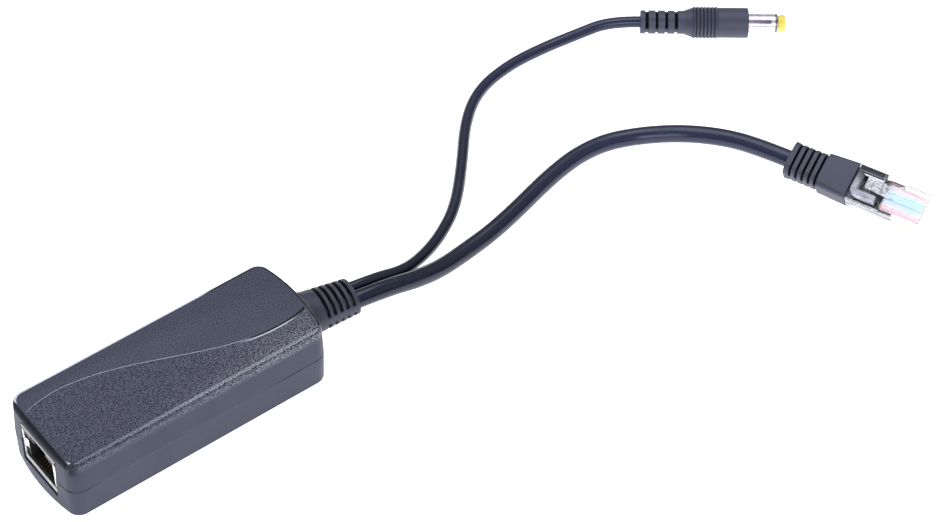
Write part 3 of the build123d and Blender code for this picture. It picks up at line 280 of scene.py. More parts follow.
class Finish:
    """A node material on one Principled shader, with a method for any other node."""

    def __init__(self, name, **constants):
        self.material = bpy.data.materials.new(name)
        self.material.use_nodes = True
        self.tree = self.material.node_tree
        self.shader = self.tree.nodes["Principled BSDF"]
        self.put_all(self.shader, constants)

    def put(self, socket, value):
        """Link or set one socket."""
        if isinstance(value, Signal):
            self.tree.links.new(value.socket, socket)
        elif socket.type == "RGBA" and len(value) == 3:
            socket.default_value = (*value, 1.0)
        else:
            socket.default_value = value

    def put_all(self, shader, values):
        """Link or set sockets of a shader, named as keywords are."""
        for keyword, value in values.items():
            name = keyword.replace("_", " ").title().replace("Ior", "IOR")
            self.put(shader.inputs[name], value)

    def set(self, name, value):
        """Link or set a socket of the first Principled shader."""
        self.put(self.shader.inputs[name], value)

    def node(self, kind, settings=None, inputs=None, output=0):
        """Add a node of any kind and give back one of its outputs."""
        made = self.tree.nodes.new(kind)
        for key, value in (settings or {}).items():
            if key == "stops":
                self.set_stops(made.color_ramp, value)
            else:
                setattr(made, key, value)
        for key, value in (inputs or {}).items():
            self.put(made.inputs[key], value)
        return Signal(self, made.outputs[output])

    def set_stops(self, color_ramp, stops):
        """Give a colour ramp flat bands, each from its stop to the next one."""
        color_ramp.interpolation = "CONSTANT"
        while len(color_ramp.elements) < len(stops):
            color_ramp.elements.new(0.5)
        for element, (place, colour) in zip(color_ramp.elements, stops):
            element.position = place
            element.color = (*colour, 1.0)

    def place(self):
        """Object coordinates, in metres."""
        return self.node("ShaderNodeTexCoord", output="Object")

    def axes(self):
        """X, Y and Z of the object coordinates, in millimetres."""
        split = self.tree.nodes.new("ShaderNodeSeparateXYZ")
        self.put(split.inputs[0], self.place())
        return [Signal(self, split.outputs[axis]) / MM for axis in "XYZ"]

    def along(self, direction, start):
        """Distance in millimetres along a direction, from the place where it starts."""
        reach = self.node("ShaderNodeVectorMath", {"operation": "DOT_PRODUCT"},
                          {0: self.place(), 1: tuple(direction)}, output="Value")
        return reach / MM - start.dot(direction)

    def in_case(self):
        """Millimetres from the case's jack end, from its near side and above the table."""
        x, y, z = self.axes()
        return x + CASE_LENGTH / 2, y + CASE_WIDTH / 2, z

    def in_barrel_plug(self):
        """Millimetres along the barrel plug, across it and up from its axis."""
        return (self.along(BARREL_PLUG_AXIS, BARREL_PLUG_REAR),
                self.along(BARREL_PLUG_ACROSS, BARREL_PLUG_REAR),
                self.along(UP, BARREL_PLUG_REAR))

    def in_data_plug(self):
        """Millimetres back from the data plug's nose, to its side and up its own way."""
        return (self.along(DATA_PLUG_BACK, DATA_PLUG_NOSE),
                self.along(DATA_PLUG_ACROSS, DATA_PLUG_NOSE),
                self.along(DATA_PLUG_UP, DATA_PLUG_NOSE))

    def beyond_field(self, lengthways, widthways):
        """Distance in millimetres across the case from the field's S-shaped edge."""
        made = self.tree.nodes.new("ShaderNodeFloatCurve")
        line = made.mapping.curves[0]
        line.points[0].location = FIELD_EDGE[0]
        line.points[-1].location = FIELD_EDGE[-1]
        for place in FIELD_EDGE[1:-1]:
            line.points.new(*place)
        made.mapping.update()
        self.put(made.inputs["Value"], lengthways / CASE_LENGTH)
        return widthways - Signal(self, made.outputs[0]) * CASE_WIDTH

    def noise(self, per_metre, detail=2.0, roughness=0.5, vector=None):
        """Noise in three dimensions, 0 to 1."""
        return self.node("ShaderNodeTexNoise", {"noise_dimensions": "3D"},
                         {"Vector": vector or self.place(), "Scale": per_metre,
                          "Detail": detail, "Roughness": roughness})

    def mix(self, factor, first, second):
        """Blend two colours."""
        return self.node("ShaderNodeMix", {"data_type": "RGBA"},
                         {0: factor, 6: first, 7: second}, output=2)

    def bump(self, height, depth):
        """Bump from a height of 0 to 1 times a depth in metres."""
        return self.node("ShaderNodeBump", None,
                         {"Height": height, "Distance": depth, "Strength": 1.0})

    def cover(self, amount, **values):
        """Lay a second Principled shader over the first by an amount from 0 to 1."""
        over = self.tree.nodes.new("ShaderNodeBsdfPrincipled")
        self.put_all(over, values)
        blend = self.tree.nodes.new("ShaderNodeMixShader")
        self.put(blend.inputs[0], amount)
        self.tree.links.new(self.shader.outputs[0], blend.inputs[1])
        self.tree.links.new(over.outputs[0], blend.inputs[2])
        self.tree.links.new(blend.outputs[0], self.tree.nodes["Material Output"].inputs[0])


def grainy(finish, colour, spread, roughness, grain_scale, grain_depth, groove_shade=None):
    """Moulded plastic: a fine grain, faint mottling and uneven gloss, and black painted
    shade in its grooves.
    """
    grain = finish.noise(grain_scale, detail=1.0)
    cloud = finish.noise(180.0, detail=3.0)
    lighter = [channel * (1 + spread) for channel in colour]
    darker = [channel * (1 - spread) for channel in colour]
    shade = finish.mix(cloud.ramp(0.3, 0.7), darker, lighter)
    gloss = cloud.ramp(0.2, 0.8, roughness - 0.04, roughness + 0.04)
    if groove_shade is not None:
        # Painted shade: black and matt in the grooves
        shade = finish.mix(groove_shade, shade, PAINTED_GROOVE_SHADE)
        gloss = gloss + groove_shade * (1.0 - roughness)
    finish.set("Base Color", shade)
    finish.set("Roughness", gloss)
    finish.set("Normal", finish.bump(grain, grain_depth))
    return finish.material


def case_gloss(finish, settings):
    """Roughness of both shells, a little uneven."""
    cloud = finish.noise(CLOUDS, detail=3.0)
    return cloud.ramp(0.3, 0.7, -0.03, 0.03) + settings.case_roughness


def seam_light_and_shade(finish, shade, lengthways, widthways, height):
    """Painted light over the line between the shells along the near side hides its shade,
    and painted shade makes it black at the jack.
    """
    seam = abs(height - PARTING_HEIGHT) < SEAM_HALF_HEIGHT
    # Painted light along the seam's middle stretch
    seam_lit_stretch = lengthways.ramp(*SEAM_LIGHT_STARTS) * lengthways.ramp(*SEAM_LIGHT_ENDS)
    near_side = widthways < 0.8
    shade = finish.mix(seam * near_side * seam_lit_stretch * 0.9, shade, SEAM_PAINTED_LIGHT)
    # Painted shade at the jack end
    return finish.mix(seam * (lengthways < SEAM_SHADE_TO), shade, PAINTED_GROOVE_SHADE)


def spark_grit(finish, speck, base, lengthways, widthways):
    """Colour of the rough texture: pale specks over it, thickening to the near and cable
    ends as painted glints.
    """
    grit = finish.mix(speck.ramp(0.42, 0.56), tuple(base * 0.02), LIT_GRIT)
    to_cable_end = lengthways.ramp(*GRIT_GLINTS_GROW)
    # The specks thicken to the cable end and near side as painted glints
    to_near_side = widthways.ramp(7.3, 1.8) * lengthways.ramp(*NEAR_GRIT_GLINTS_GROW)
    pale = speck.ramp(0.48, 0.62) * (to_cable_end * 0.5 + to_near_side * 0.45 + 0.2)
    return finish.mix(pale, grit, GRIT_SPECKS_AND_GLINTS)


def field_edge_light_and_shade(finish, shade, in_field, beyond, lengthways, widthways, below):
    """The field's edge: a painted highlight on its wall that turns to painted shadow, and a
    painted light line and shadow at its foot.
    """
    on_wall = below.between(0.005, FIELD_DEPTH - LEVEL_PLAY)
    wall = on_wall * (lengthways > 3.0) * (widthways > 2.3)
    # Painted highlight on the wall, turning to painted shadow
    line = finish.mix(lengthways.ramp(*WALL_LIGHT_TURNS_TO_SHADOW), LIT_WALL, SHADOW)
    shade = finish.mix(wall * 0.9, shade, line)
    # Painted light line and painted shadow at the wall's foot
    foot = in_field * lengthways.ramp(*FOOT_LIGHT_AND_SHADOW_START)
    lit_foot = foot * beyond.ramp(-0.8, -0.65) * lengthways.ramp(*FOOT_LIGHT_ENDS)
    shade = finish.mix(lit_foot, shade, LIT_FOOT)
    return finish.mix(foot * beyond.ramp(-0.45, -0.3) * 0.95, shade, SHADOW)


def make_case_top(settings):
    """Upper shell: rough spark texture in the sunken field and over the near edge, with
    painted light and shade on its edges, rim and grain.
    """
    finish = Finish("case_top", specular_ior_level=0.4, specular_tint=BLUE_GLOSS)
    lengthways, widthways, height = finish.in_case()
    below = CASE_TOP - height
    to_far_side = CASE_WIDTH - widthways
    beyond = finish.beyond_field(lengthways, widthways)
    speck = finish.noise(3300.0, detail=1.5, roughness=0.75)
    base = Vector(settings.case_colour)

    in_field = below.between(FIELD_DEPTH - LEVEL_PLAY, FIELD_DEPTH + LEVEL_PLAY)
    field_ends = (below < 0.015) * (beyond < -0.25)
    near_edge = below.ramp(3.4, 1.4) * widthways.ramp(2.7, 2.4)
    texture = in_field.most(near_edge * 0.75).most(field_ends)
    rim = (below < 0.1) * (widthways < 1.7)
    # Painted shade on the rounded jack-end edge, the near corner and the far edge
    jack_edge_shade = lengthways.ramp(3.2, 2.4) * below.ramp(2.8, 1.2)
    near_corner_shade = (lengthways.ramp(5.0, 3.0) * widthways.ramp(2.7, 1.5)
                   * below.ramp(5.0, 2.0))
    far_edge_shade = to_far_side.ramp(1.5, 0.3) * lengthways.ramp(*FAR_EDGE_SHADE_GROWS)

    # Painted light and shade: the top's grain is painted lighter, and the sides from 0.8 to
    # 2.5 mm down darker
    plain = finish.mix(speck.ramp(0.38, 0.62), tuple(base * 0.3), LIT_GRAIN)
    plain = finish.mix(below.ramp(0.8, 2.5), plain, tuple(base * 0.82))
    grit = spark_grit(finish, speck, base, lengthways, widthways)
    shade = finish.mix(texture, plain, grit)
    shade = field_edge_light_and_shade(finish, shade, in_field, beyond, lengthways, widthways, below)
    shade = seam_light_and_shade(finish, shade, lengthways, widthways, height)
    # Painted highlight on the near rim, broken by specks
    rim_glints = speck.ramp(0.34, 0.56) * (lengthways.ramp(*RIM_HIGHLIGHT_GROWS) * 0.4 + 0.35)
    shade = finish.mix(rim * rim_glints * (lengthways > 4.0), shade, RIM_HIGHLIGHT)
    # The painted shade of the edges and corner, over the colour
    dark = jack_edge_shade.most(near_corner_shade * 0.85).most(far_edge_shade * 0.8)
    finish.set("Base Color", finish.mix(dark * 0.9, shade, tuple(base * 0.1)))

    soft = jack_edge_shade.most(near_corner_shade).most(to_far_side.ramp(1.7, 0.7)).most(rim * 0.5)
    finish.set("Roughness", texture * -0.08 + case_gloss(finish, settings) + soft * 0.4)
    coarse = finish.noise(3000.0, detail=2.0, roughness=0.7)
    fine = finish.noise(FINE_GRAIN, detail=1.0)
    grain = coarse * texture * 3.0 + fine * 0.5
    finish.set("Normal", finish.bump(grain, CASE_TOP_GRAIN))
    return finish.material


def make_case_bottom(settings):
    """Lower shell: the plain fine grain, with painted light on the front of the sill under
    the jack, painted shade behind it and on the near corner.
    """
    finish = Finish("case_bottom", specular_ior_level=0.4, specular_tint=BLUE_GLOSS)
    lengthways, widthways, height = finish.in_case()
    fine = finish.noise(FINE_GRAIN, detail=1.0)
    base = Vector(settings.case_colour)
    shade = finish.mix(fine.ramp(0.3, 0.7), tuple(base * 0.75), tuple(base * 0.9))
    # Painted light on the front of the sill, painted shade behind it under the jack
    sill = (abs(height - SILL_HEIGHT) < LEVEL_PLAY) * (lengthways < 2.0)
    sill_light_and_shade = finish.mix(lengthways.ramp(0.95, 1.1), SILL_PAINTED_LIGHT, PAINTED_GROOVE_SHADE)
    shade = finish.mix(sill, shade, sill_light_and_shade)
    shade = seam_light_and_shade(finish, shade, lengthways, widthways, height)
    # Painted shade on the near corner
    near_corner_shade = lengthways.ramp(2.2, 1.2) * widthways.ramp(1.9, 0.9)
    finish.set("Base Color", finish.mix(near_corner_shade * 0.5, shade, tuple(base * 0.1)))
    finish.set("Roughness", case_gloss(finish, settings))
    finish.set("Normal", finish.bump(fine, CASE_BOTTOM_GRAIN))
    return finish.material


def make_jacket(settings):
    """Cable jacket: smooth and satin, with faint scuffs, and painted light making it paler
    towards the plugs.
    """
    finish = Finish("cable_jacket", specular_tint=JACKET_GLOSS)
    scuff = finish.noise(260.0, detail=4.0, roughness=0.6).ramp(0.62, 0.72)
    cloud = finish.noise(90.0, detail=3.0)
    base = Vector(settings.cable_colour)
    # Painted light: paler towards the plugs
    lit_to_plugs = finish.axes()[0].ramp(*CABLES_PAINTED_LIGHTER)
    shade = finish.mix(lit_to_plugs, tuple(base), tuple(base * 2.6))
    finish.set("Base Color", finish.mix(scuff * 0.3, shade, tuple(base * 4.0)))
    finish.set("Roughness", cloud.ramp(0.3, 0.7, 0.14, 0.33) + scuff * 0.15)
    finish.set("Normal", finish.bump(finish.noise(1400.0), 0.01 * MM))
    return finish.material


def make_gland(settings):
    """Overmoulded relief on the case, darker and coarser, with black painted shade in its
    grooves.
    """
    finish = Finish("gland", specular_tint=BLUE_GLOSS)
    along = finish.along(RELIEF_AXIS, RELIEF_ROOT)
    across = finish.along(RELIEF_ACROSS, RELIEF_ROOT) / RELIEF_HALF_WIDTH
    up = finish.along(RELIEF_UP, RELIEF_ROOT) / RELIEF_HALF_HEIGHT
    oval = (across * across + up * up).root() / (1.0 - along * RELIEF_TAPER)
    # Painted shade in the grooves
    groove_shade = oval.ramp(*RELIEF_GROOVE_SHARES, 1.0, 0.0) * (along < RELIEF_LENGTH - 0.1)
    colour = Vector(settings.relief_colour) * 0.72
    return grainy(finish, colour, 0.2, 0.5, 2600.0, 0.06 * MM, groove_shade)


def overmoulding(finish, settings, groove_shade):
    """The smoother grain of both plugs' overmoulded bodies."""
    return grainy(finish, settings.relief_colour, 0.08, 0.45, 3600.0, 0.02 * MM, groove_shade)


def make_barrel_plug_body(settings):
    """Overmoulded plug body, with black painted shade between its ribs and darker painted
    shade in its grip rings.
    """
    finish = Finish("power_plug_body", specular_tint=BLUE_GLOSS)
    along, across, up = finish.in_barrel_plug()
    radius = (across * across + up * up).root()
    # Painted shade between the ribs and in the grip rings
    ribs = radius.ramp(*RIB_GROOVE_RADII, 1.0, 0.0) * along.between(*BARREL_PLUG_RIBS)
    rings = radius.ramp(*RING_GROOVE_RADII, 0.8, 0.0) * along.between(*BARREL_PLUG_RINGS)
    return overmoulding(finish, settings, ribs.most(rings))


def make_boot(settings):
    """Overmoulded boot, with black painted shade in its grooves."""
    finish = Finish("plug_boot", specular_tint=BLUE_GLOSS)
    back, side, rise = finish.in_data_plug()
    side = (abs(side) - BOOT_CORE_HALF_WIDTH).most(0.0)
    rise = (abs(rise) - BOOT_CORE_HALF_HEIGHT).most(0.0)
    depth = BOOT_RADIUS - (side * side + rise * rise).root()
    # Painted shade in the grooves
    groove_shade = depth.ramp(*BOOT_GROOVE_DEPTHS) * back.between(*BOOT_GROOVES)
    return overmoulding(finish, settings, groove_shade)


def make_bright_metal(name, colour, roughness):
    """Plated metal with faint drawing marks."""
    finish = Finish(name, metallic=1.0)
    stretch = finish.node("ShaderNodeMapping", None,
                          {"Vector": finish.place(), "Scale": (1.0, 12.0, 12.0)})
    marks = finish.noise(300.0, detail=3.0, vector=stretch)
    dark = [channel * 0.86 for channel in colour]
    finish.set("Base Color", finish.mix(marks.ramp(0.35, 0.65), dark, colour))
    finish.set("Roughness", marks.ramp(0.3, 0.7, roughness - 0.05, roughness + 0.08))
    return finish.material


def make_barrel():
    """Plated barrel: painted shade along its near side, with a dark ring before the tip."""
    finish = Finish("plated_barrel", metallic=1.0)
    along, across, up = finish.in_barrel_plug()
    marks = finish.noise(700.0, detail=3.0)
    shade = finish.mix(marks.ramp(0.35, 0.65), (0.6, 0.55, 0.64), (0.68, 0.63, 0.72))
    # Painted shade along the barrel's near side
    shaded_band = (up.ramp(1.2, 1.8) * up.ramp(2.6, 2.2) * (across < 0.0)
            * along.ramp(BARREL_END - 1.7, BARREL_END - 2.3))
    depth = along.ramp(BARREL_START + 0.3, BARREL_END - 2.5, 0.6, 0.9)
    shade = finish.mix(shaded_band * depth, shade, (0.1, 0.09, 0.14))
    ring = along.between(BARREL_END - 0.9, BARREL_END - 0.3)
    finish.set("Base Color", finish.mix(ring * 0.8, shade, (0.03, 0.03, 0.045)))
    finish.set("Roughness", marks.ramp(0.3, 0.7, 0.24, 0.36))
    return finish.material


def make_shield():
    """Plated sheet of the jack, with painted shade on the tabs at its top and dull at its
    foot.
    """
    finish = Finish("jack_shield")
    height = finish.axes()[2]
    marks = finish.noise(900.0, detail=3.0)
    sheet = finish.mix(marks.ramp(0.35, 0.65), (0.72, 0.71, 0.74), (0.9, 0.88, 0.9))
    # Painted shade on the tabs, lighter above SHIELD_TABS_LIT
    lit = height.ramp(SHIELD_TABS_LIT, SHIELD_TABS_LIT + 0.2, 1.0, 0.6)
    tabs = (height > SHIELD_TABS) * lit
    finish.set("Base Color", finish.mix(tabs * 0.9, sheet, (0.02, 0.02, 0.022)))
    finish.set("Metallic", height.ramp(SHIELD_FOOT, SHIELD_FOOT + 0.3, 0.2, 1.0))
    finish.set("Roughness", marks.ramp(0.3, 0.7, 0.35, 0.5))
    return finish.material


def make_simple(name, colour, roughness):
    """Small inner piece: one colour with a little mottling and grain."""
    return grainy(Finish(name), colour, 0.08, roughness, 4000.0, 0.008 * MM)


def make_clear():
    """Clear moulded plastic: a milky painted sheen on nose, latch, guard and wall, and
    painted shade on the far arm.
    """
    finish = Finish("clear_housing", transmission_weight=1.0, ior=1.3)
    flow = finish.noise(350.0, detail=2.0)
    finish.set("Base Color", finish.mix(flow, (0.9, 0.93, 0.98), (0.99, 0.99, 1.0)))
    finish.set("Roughness", flow.ramp(0.3, 0.7, 0.04, 0.12))
    finish.set("Normal", finish.bump(flow, 0.02 * MM))

    back, side, rise = finish.in_data_plug()
    over_latch = abs(side) < LATCH_HALF_WIDTH
    above = rise.ramp(PLUG_ROOF, PLUG_ROOF + 0.3) * back.ramp(8.0, 12.0)
    guard = above * side.ramp(3.0, -4.0, 0.06, 0.5)
    latch = above * over_latch * (back < LATCH_END) * 0.3
    wall = side.ramp(-PLUG_WALL, -PLUG_WALL - 0.3) * back.ramp(4.0, 14.0, 0.05, 0.35)
    nose = back.ramp(1.0, 0.2) * 0.25
    # A milky painted sheen on guard, latch, wall and nose
    milky_sheen = guard.most(latch).most(wall).most(nose)
    # Painted shade on the guard's far arm
    far_arm_shade = (rise.ramp(PLUG_ROOF - 0.3, PLUG_ROOF) * back.ramp(12.6, 13.6)
               * side.ramp(LATCH_HALF_WIDTH, LATCH_HALF_WIDTH + 0.6))
    crackle = finish.noise(1400.0, detail=3.0).ramp(0.42, 0.58) * over_latch

    tint = finish.mix(crackle * 0.8, (0.7, 0.72, 0.87), (1.0, 1.0, 1.0))
    tint = finish.mix(far_arm_shade, tint, (0.012, 0.012, 0.025))
    sheen_and_frost = milky_sheen * flow.ramp(0.3, 0.7, 0.6, 1.3) + crackle * latch
    finish.cover(sheen_and_frost.most(far_arm_shade * 0.97), base_color=tint, roughness=0.4,
                 specular_ior_level=0.25)
    return finish.material


def make_sleeve():
    """Yellow sleeve, a little uneven in colour and gloss."""
    finish = Finish("yellow_sleeve")
    cloud = finish.noise(500.0)
    finish.set("Base Color", finish.mix(cloud, (0.84, 0.66, 0.07), (0.92, 0.78, 0.16)))
    finish.set("Roughness", cloud.ramp(0.3, 0.7, 0.3, 0.42))
    return finish.material


def make_plug_wires():
    """Insulation of the wires, in bands of pale colour across the plug, glowing faintly as
    painted light.
    """
    # Emission makes the wires glow: painted light
    finish = Finish("plug_wires", roughness=0.35, emission_strength=0.4)
    colours = ((0.93, 0.6, 0.66), (0.94, 0.76, 0.82), (0.85, 0.88, 0.96), (0.58, 0.78, 0.95),
               (0.72, 0.9, 0.96), (0.62, 0.88, 0.87), (0.93, 0.84, 0.88), (0.93, 0.62, 0.66))
    count = len(colours)
    across = finish.along(DATA_PLUG_ACROSS, DATA_PLUG_NOSE)
    stops = [(index / count, colour) for index, colour in enumerate(colours)]
    bands = finish.node("ShaderNodeValToRGB", {"stops": stops},
                        {"Fac": across / (count * WIRE_PITCH) + 0.5})
    finish.set("Base Color", bands)
    finish.set("Emission Color", bands)
    return finish.material


class ConverterSettings(bpy.types.PropertyGroup):
    """Sizes and colours that a user would change."""

    case_colour: FloatVectorProperty(
        name="Case colour", description="Colour of both moulded shells", subtype="COLOR",
        default=(0.029, 0.034, 0.068), min=0.0, max=1.0)
    case_roughness: FloatProperty(
        name="Case roughness", description="How matt the moulded shells are",
        default=0.5, min=0.0, max=1.0)
    cable_colour: FloatVectorProperty(
        name="Cable colour", description="Colour of the cable jackets", subtype="COLOR",
        default=(0.006, 0.007, 0.018), min=0.0, max=1.0)
    relief_colour: FloatVectorProperty(
        name="Relief colour", description="Colour of the gland, boot and plug body",
        subtype="COLOR", default=(0.05, 0.051, 0.083), min=0.0, max=1.0)
    edge_softness: FloatProperty(
        name="Edge softness", description="Rounding of moulded edges", unit="LENGTH",
        default=0.15 * MM, min=0.0, max=1.0 * MM)


def settings_of(context):
    """What the panel has set."""
    return context.scene.converter_settings


def show(name, data):
    """An object of this data in the scene."""
    made = bpy.data.objects.new(name, data)
    bpy.context.scene.collection.objects.link(made)
    return made


def aim(thing, direction):
    """Turn a light or the camera to look in a direction."""
    thing.rotation_euler = direction.to_track_quat("-Z", "Y").to_euler()


def assign(obj, material):
    """Give a piece one material."""
    obj.data.materials.clear()
    obj.data.materials.append(material)


def round_step(work, reach):
    """Round the S-shaped top edge of the field, whose wall faces the near side."""
    top = CAD_BOX[1][2]
    edges = []
    for edge in work.edges:
        if len(edge.link_faces) == 2 and all(abs(vert.co.z - top) < 0.01 * MM
                                             for vert in edge.verts):
            upright = [face for face in edge.link_faces if abs(face.normal.z) < 0.1]
            if len(upright) == 1 and upright[0].normal.y < -0.3:
                edges.append(edge)
    bmesh.ops.bevel(work, geom=edges, offset=reach, segments=2, profile=0.5,
                    affect="EDGES", clamp_overlap=True, material=-1)


def dress(node, material, edge=0.0, step=0.0):
    """A merged, smoothly shaded copy of a CAD node with softened edges stands for it."""
    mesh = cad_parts[node].data.copy()
    piece = show(f"{node}_finished", mesh)
    work = bmesh.new()
    work.from_mesh(mesh)
    bmesh.ops.remove_doubles(work, verts=work.verts, dist=MERGE_DISTANCE)
    bmesh.ops.dissolve_limit(work, angle_limit=FLAT_ANGLE, verts=work.verts,
                             edges=work.edges)
    if step:
        round_step(work, step)
    work.to_mesh(mesh)
    work.free()
    if "custom_normal" in mesh.attributes:
        mesh.attributes.remove(mesh.attributes["custom_normal"])
    mesh.shade_smooth()
    mesh.set_sharp_from_angle(angle=SHARP_ANGLE)
    if edge:
        bevel = piece.modifiers.new("soft edges", "BEVEL")
        bevel.width = edge
        bevel.segments = 2
        bevel.limit_method = "ANGLE"
        bevel.angle_limit = SHARP_ANGLE
        bevel.use_clamp_overlap = True
        bevel.harden_normals = True
    assign(piece, material)
    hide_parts(node)
    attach(piece, "root")


def lay_cable(name, route, diameter, material):
    """One smooth round cable along its route."""
    curve = bpy.data.curves.new(name, "CURVE")
    curve.dimensions = "3D"
    curve.bevel_depth = diameter / 2
    curve.bevel_resolution = 8
    curve.resolution_u = 24
    curve.use_fill_caps = True
    spline = curve.splines.new("NURBS")
    spline.points.add(len(route) - 1)
    for point, place in zip(spline.points, route):
        point.co = (*(Vector(place) * MM), 1.0)
    spline.order_u = 3
    spline.use_endpoint_u = True
    cable = show(name, curve)
    assign(cable, material)
    return cable


def lay_floor():
    """Pale floor, bright enough to hide its shadows."""
    bpy.ops.mesh.primitive_plane_add(size=FLOOR_SIZE, location=FLOOR_PLACE)
    floor = bpy.context.object
    floor.name = "floor"
    finish = Finish("pale_floor", roughness=0.9, emission_color=(1.0, 1.0, 1.0),
                    emission_strength=FLOOR_GLOW)
    cloud = finish.noise(3.0)
    finish.set("Base Color", finish.mix(cloud, (0.87, 0.87, 0.87), (0.88, 0.88, 0.88)))
    assign(floor, finish.material)


def light_sky(scene):
    """Cool sky, dim at the horizon and brighter above."""
    world = bpy.data.worlds.new("studio")
    scene.world = world
    world.use_nodes = True
    tree = world.node_tree
    back = tree.nodes["Background"]
    back.inputs["Color"].default_value = SKY_COLOUR
    way = tree.nodes.new("ShaderNodeTexCoord")
    split = tree.nodes.new("ShaderNodeSeparateXYZ")
    rise = tree.nodes.new("ShaderNodeMapRange")
    for socket, value in SKY_RISE.items():
        rise.inputs[socket].default_value = value
    tree.links.new(way.outputs["Generated"], split.inputs[0])
    tree.links.new(split.outputs["Z"], rise.inputs["Value"])
    tree.links.new(rise.outputs[0], back.inputs["Strength"])


def hang_lights():
    """Soft square lights aimed at the object."""
    for name, place, size, energy in LIGHTS:
        data = bpy.data.lights.new(name, "AREA")
        data.shape = "SQUARE"
        data.size = size
        data.energy = energy
        light = show(name, data)
        light.location = place
        aim(light, CAMERA_TARGET - Vector(place))


def stand_camera(scene):
    """The camera at its distance from the target, looking at it."""
    away = Vector((math.sin(CAMERA_AZIMUTH) * math.cos(CAMERA_ELEVATION),
                   -math.cos(CAMERA_AZIMUTH) * math.cos(CAMERA_ELEVATION),
                   math.sin(CAMERA_ELEVATION)))
    lens = bpy.data.cameras.new("camera")
    lens.lens = CAMERA_LENS
    lens.sensor_width = CAMERA_SENSOR
    lens.clip_start = CAMERA_CLIP
    camera = show("camera", lens)
    camera.location = CAMERA_TARGET + away * CAMERA_DISTANCE
    aim(camera, -away)
    scene.camera = camera


class CONVERTER_OT_stage(bpy.types.Operator):
    """Pale floor, soft studio light and the camera at the photograph's angle"""

    bl_idname = "converter.stage"
    bl_label = "Stage"

    def execute(self, context):
        context.scene.view_settings.view_transform = "Standard"
        lay_floor()
        light_sky(context.scene)
        hang_lights()
        stand_camera(context.scene)
        return {"FINISHED"}


class CONVERTER_OT_case(bpy.types.Operator):
    """The two moulded shells"""

    bl_idname = "converter.case"
    bl_label = "Case"

    def execute(self, context):
        settings = settings_of(context)
        dress("upper_case", make_case_top(settings), edge=settings.edge_softness,
              step=FIELD_EDGE_ROUNDING)
        dress("lower_case", make_case_bottom(settings), edge=settings.edge_softness)
        return {"FINISHED"}


class CONVERTER_OT_jack(bpy.types.Operator):
    """The data jack in the end of the case"""

    bl_idname = "converter.jack"
    bl_label = "Data jack"

    def execute(self, context):
        dress("jack_shield", make_shield(), edge=0.05 * MM)
        dress("jack_body", make_simple("jack_body", (0.003, 0.003, 0.003), 0.6),
              edge=0.06 * MM)
        # The jack's contacts are a darker copy of the plug's gold: painted shade inside the
        # jack
        dress("jack_contacts", make_bright_metal("jack_gold_shaded", (0.45, 0.2, 0.1), 0.35))
        return {"FINISHED"}


class CONVERTER_OT_relief(bpy.types.Operator):
    """The cable gland with its grooved strain relief"""

    bl_idname = "converter.relief"
    bl_label = "Strain relief"

    def execute(self, context):
        dress("cable_gland", make_gland(settings_of(context)), edge=0.12 * MM)
        return {"FINISHED"}


class CONVERTER_OT_power_plug(bpy.types.Operator):
    """The barrel plug"""

    bl_idname = "converter.power_plug"
    bl_label = "Barrel plug"

    def execute(self, context):
        metal = make_barrel()
        dress("power_plug_body", make_barrel_plug_body(settings_of(context)),
              edge=0.12 * MM)
        dress("power_plug_barrel", metal)
        dress("power_plug_sleeve", make_sleeve())
        dress("power_plug_contact", metal)
        return {"FINISHED"}


class CONVERTER_OT_data_plug(bpy.types.Operator):
    """The clear data plug with its boot"""

    bl_idname = "converter.data_plug"
    bl_label = "Data plug"

    def execute(self, context):
        dress("data_plug_housing", make_clear(), edge=0.1 * MM)
        dress("data_plug_boot", make_boot(settings_of(context)), edge=0.15 * MM)
        dress("data_plug_jacket", make_simple("plug_jacket", (0.003, 0.003, 0.006), 0.6),
              edge=0.1 * MM)
        dress("data_plug_wires", make_plug_wires())
        dress("data_plug_contacts",
              make_bright_metal("gold_contacts", (0.9, 0.62, 0.24), 0.2))
        return {"FINISHED"}


class CONVERTER_OT_cables(bpy.types.Operator):
    """The two cables on their routes"""

    bl_idname = "converter.cables"
    bl_label = "Cables"

    def execute(self, context):
        material = make_jacket(settings_of(context))
        data = lay_cable("data_cable_finished", DATA_CABLE_ROUTE, DATA_CABLE_DIAMETER,
                         material)
        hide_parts("data_cable")
        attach(data, "root")
        power = lay_cable("power_cable_finished", POWER_CABLE_ROUTE, POWER_CABLE_DIAMETER,
                          material)
        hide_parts("power_cable")
        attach(power, "root")
        return {"FINISHED"}


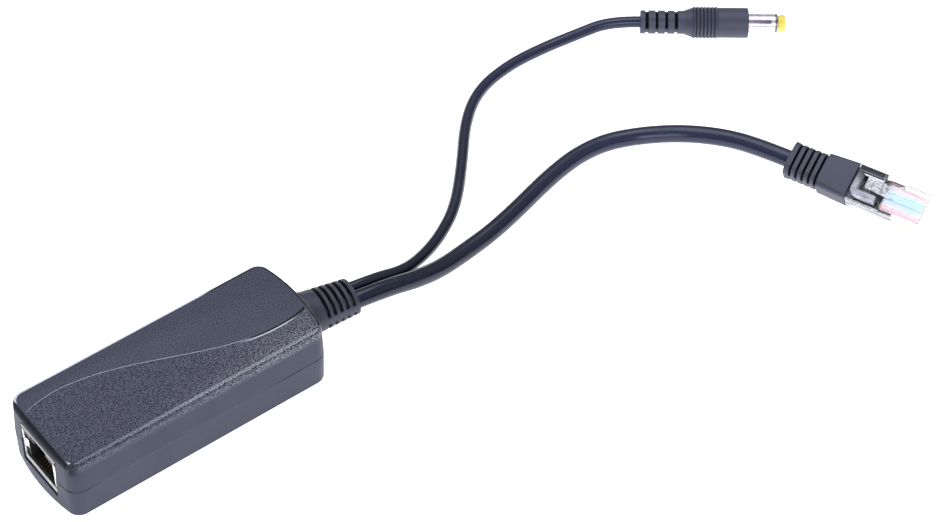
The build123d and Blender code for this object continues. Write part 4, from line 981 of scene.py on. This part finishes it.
class CONVERTER_OT_inside(bpy.types.Operator):
    """The board and what it carries inside the case"""

    bl_idname = "converter.inside"
    bl_label = "Inside"

    def execute(self, context):
        black = make_simple("component_black", (0.03, 0.03, 0.03), 0.45)
        ferrite = make_simple("ferrite", (0.05, 0.05, 0.055), 0.6)
        can = make_simple("capacitor_can", (0.03, 0.05, 0.11), 0.3)
        insulation = make_simple("lead_insulation", (0.6, 0.2, 0.08), 0.4)
        jacket = make_simple("inner_jacket", (0.03, 0.03, 0.035), 0.4)
        for node, material in (
                ("circuit_board", make_simple("circuit_board", (0.02, 0.16, 0.05), 0.35)),
                ("data_magnetics", black), ("bridge_rectifiers", black),
                ("controller_chip", black), ("output_diode", black),
                ("component_legs", make_bright_metal("tinned_legs", (0.7, 0.7, 0.68), 0.3)),
                ("chip_parts", make_simple("chip_parts", (0.45, 0.33, 0.2), 0.5)),
                ("transformer_core", ferrite), ("output_inductor", ferrite),
                ("transformer_winding", make_simple("winding", (0.65, 0.45, 0.05), 0.4)),
                ("input_capacitor", can), ("output_capacitor", can),
                ("filter_capacitor", can), ("data_leads", insulation),
                ("power_leads", insulation), ("data_cable_tail", jacket),
                ("power_cable_tail", jacket)):
            assign(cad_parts[node], material)
        return {"FINISHED"}


class CONVERTER_PT_panel(bpy.types.Panel):
    """Lists the settings, and the pieces in the order they are made"""

    bl_idname = "CONVERTER_PT_panel"
    bl_label = "Converter"
    bl_space_type = "VIEW_3D"
    bl_region_type = "UI"
    bl_category = "Converter"

    def draw(self, context):
        for key in ConverterSettings.__annotations__:
            self.layout.prop(settings_of(context), key)
        for operator in OPERATORS:
            self.layout.operator(operator.bl_idname)


OPERATORS = (CONVERTER_OT_stage, CONVERTER_OT_case, CONVERTER_OT_jack, CONVERTER_OT_relief,
             CONVERTER_OT_power_plug, CONVERTER_OT_data_plug, CONVERTER_OT_cables,
             CONVERTER_OT_inside)
CLASSES = (ConverterSettings, *OPERATORS, CONVERTER_PT_panel)


def register():
    for cls in CLASSES:
        bpy.utils.register_class(cls)
    bpy.types.Scene.converter_settings = PointerProperty(type=ConverterSettings)


def unregister():
    del bpy.types.Scene.converter_settings
    for cls in reversed(CLASSES):
        bpy.utils.unregister_class(cls)


def main():
    """Make every piece in order."""
    register()
    bpy.ops.converter.stage()
    bpy.ops.converter.case()
    bpy.ops.converter.jack()
    bpy.ops.converter.relief()
    bpy.ops.converter.power_plug()
    bpy.ops.converter.data_plug()
    bpy.ops.converter.cables()
    bpy.ops.converter.inside()


if __name__ == "__main__":
    main()
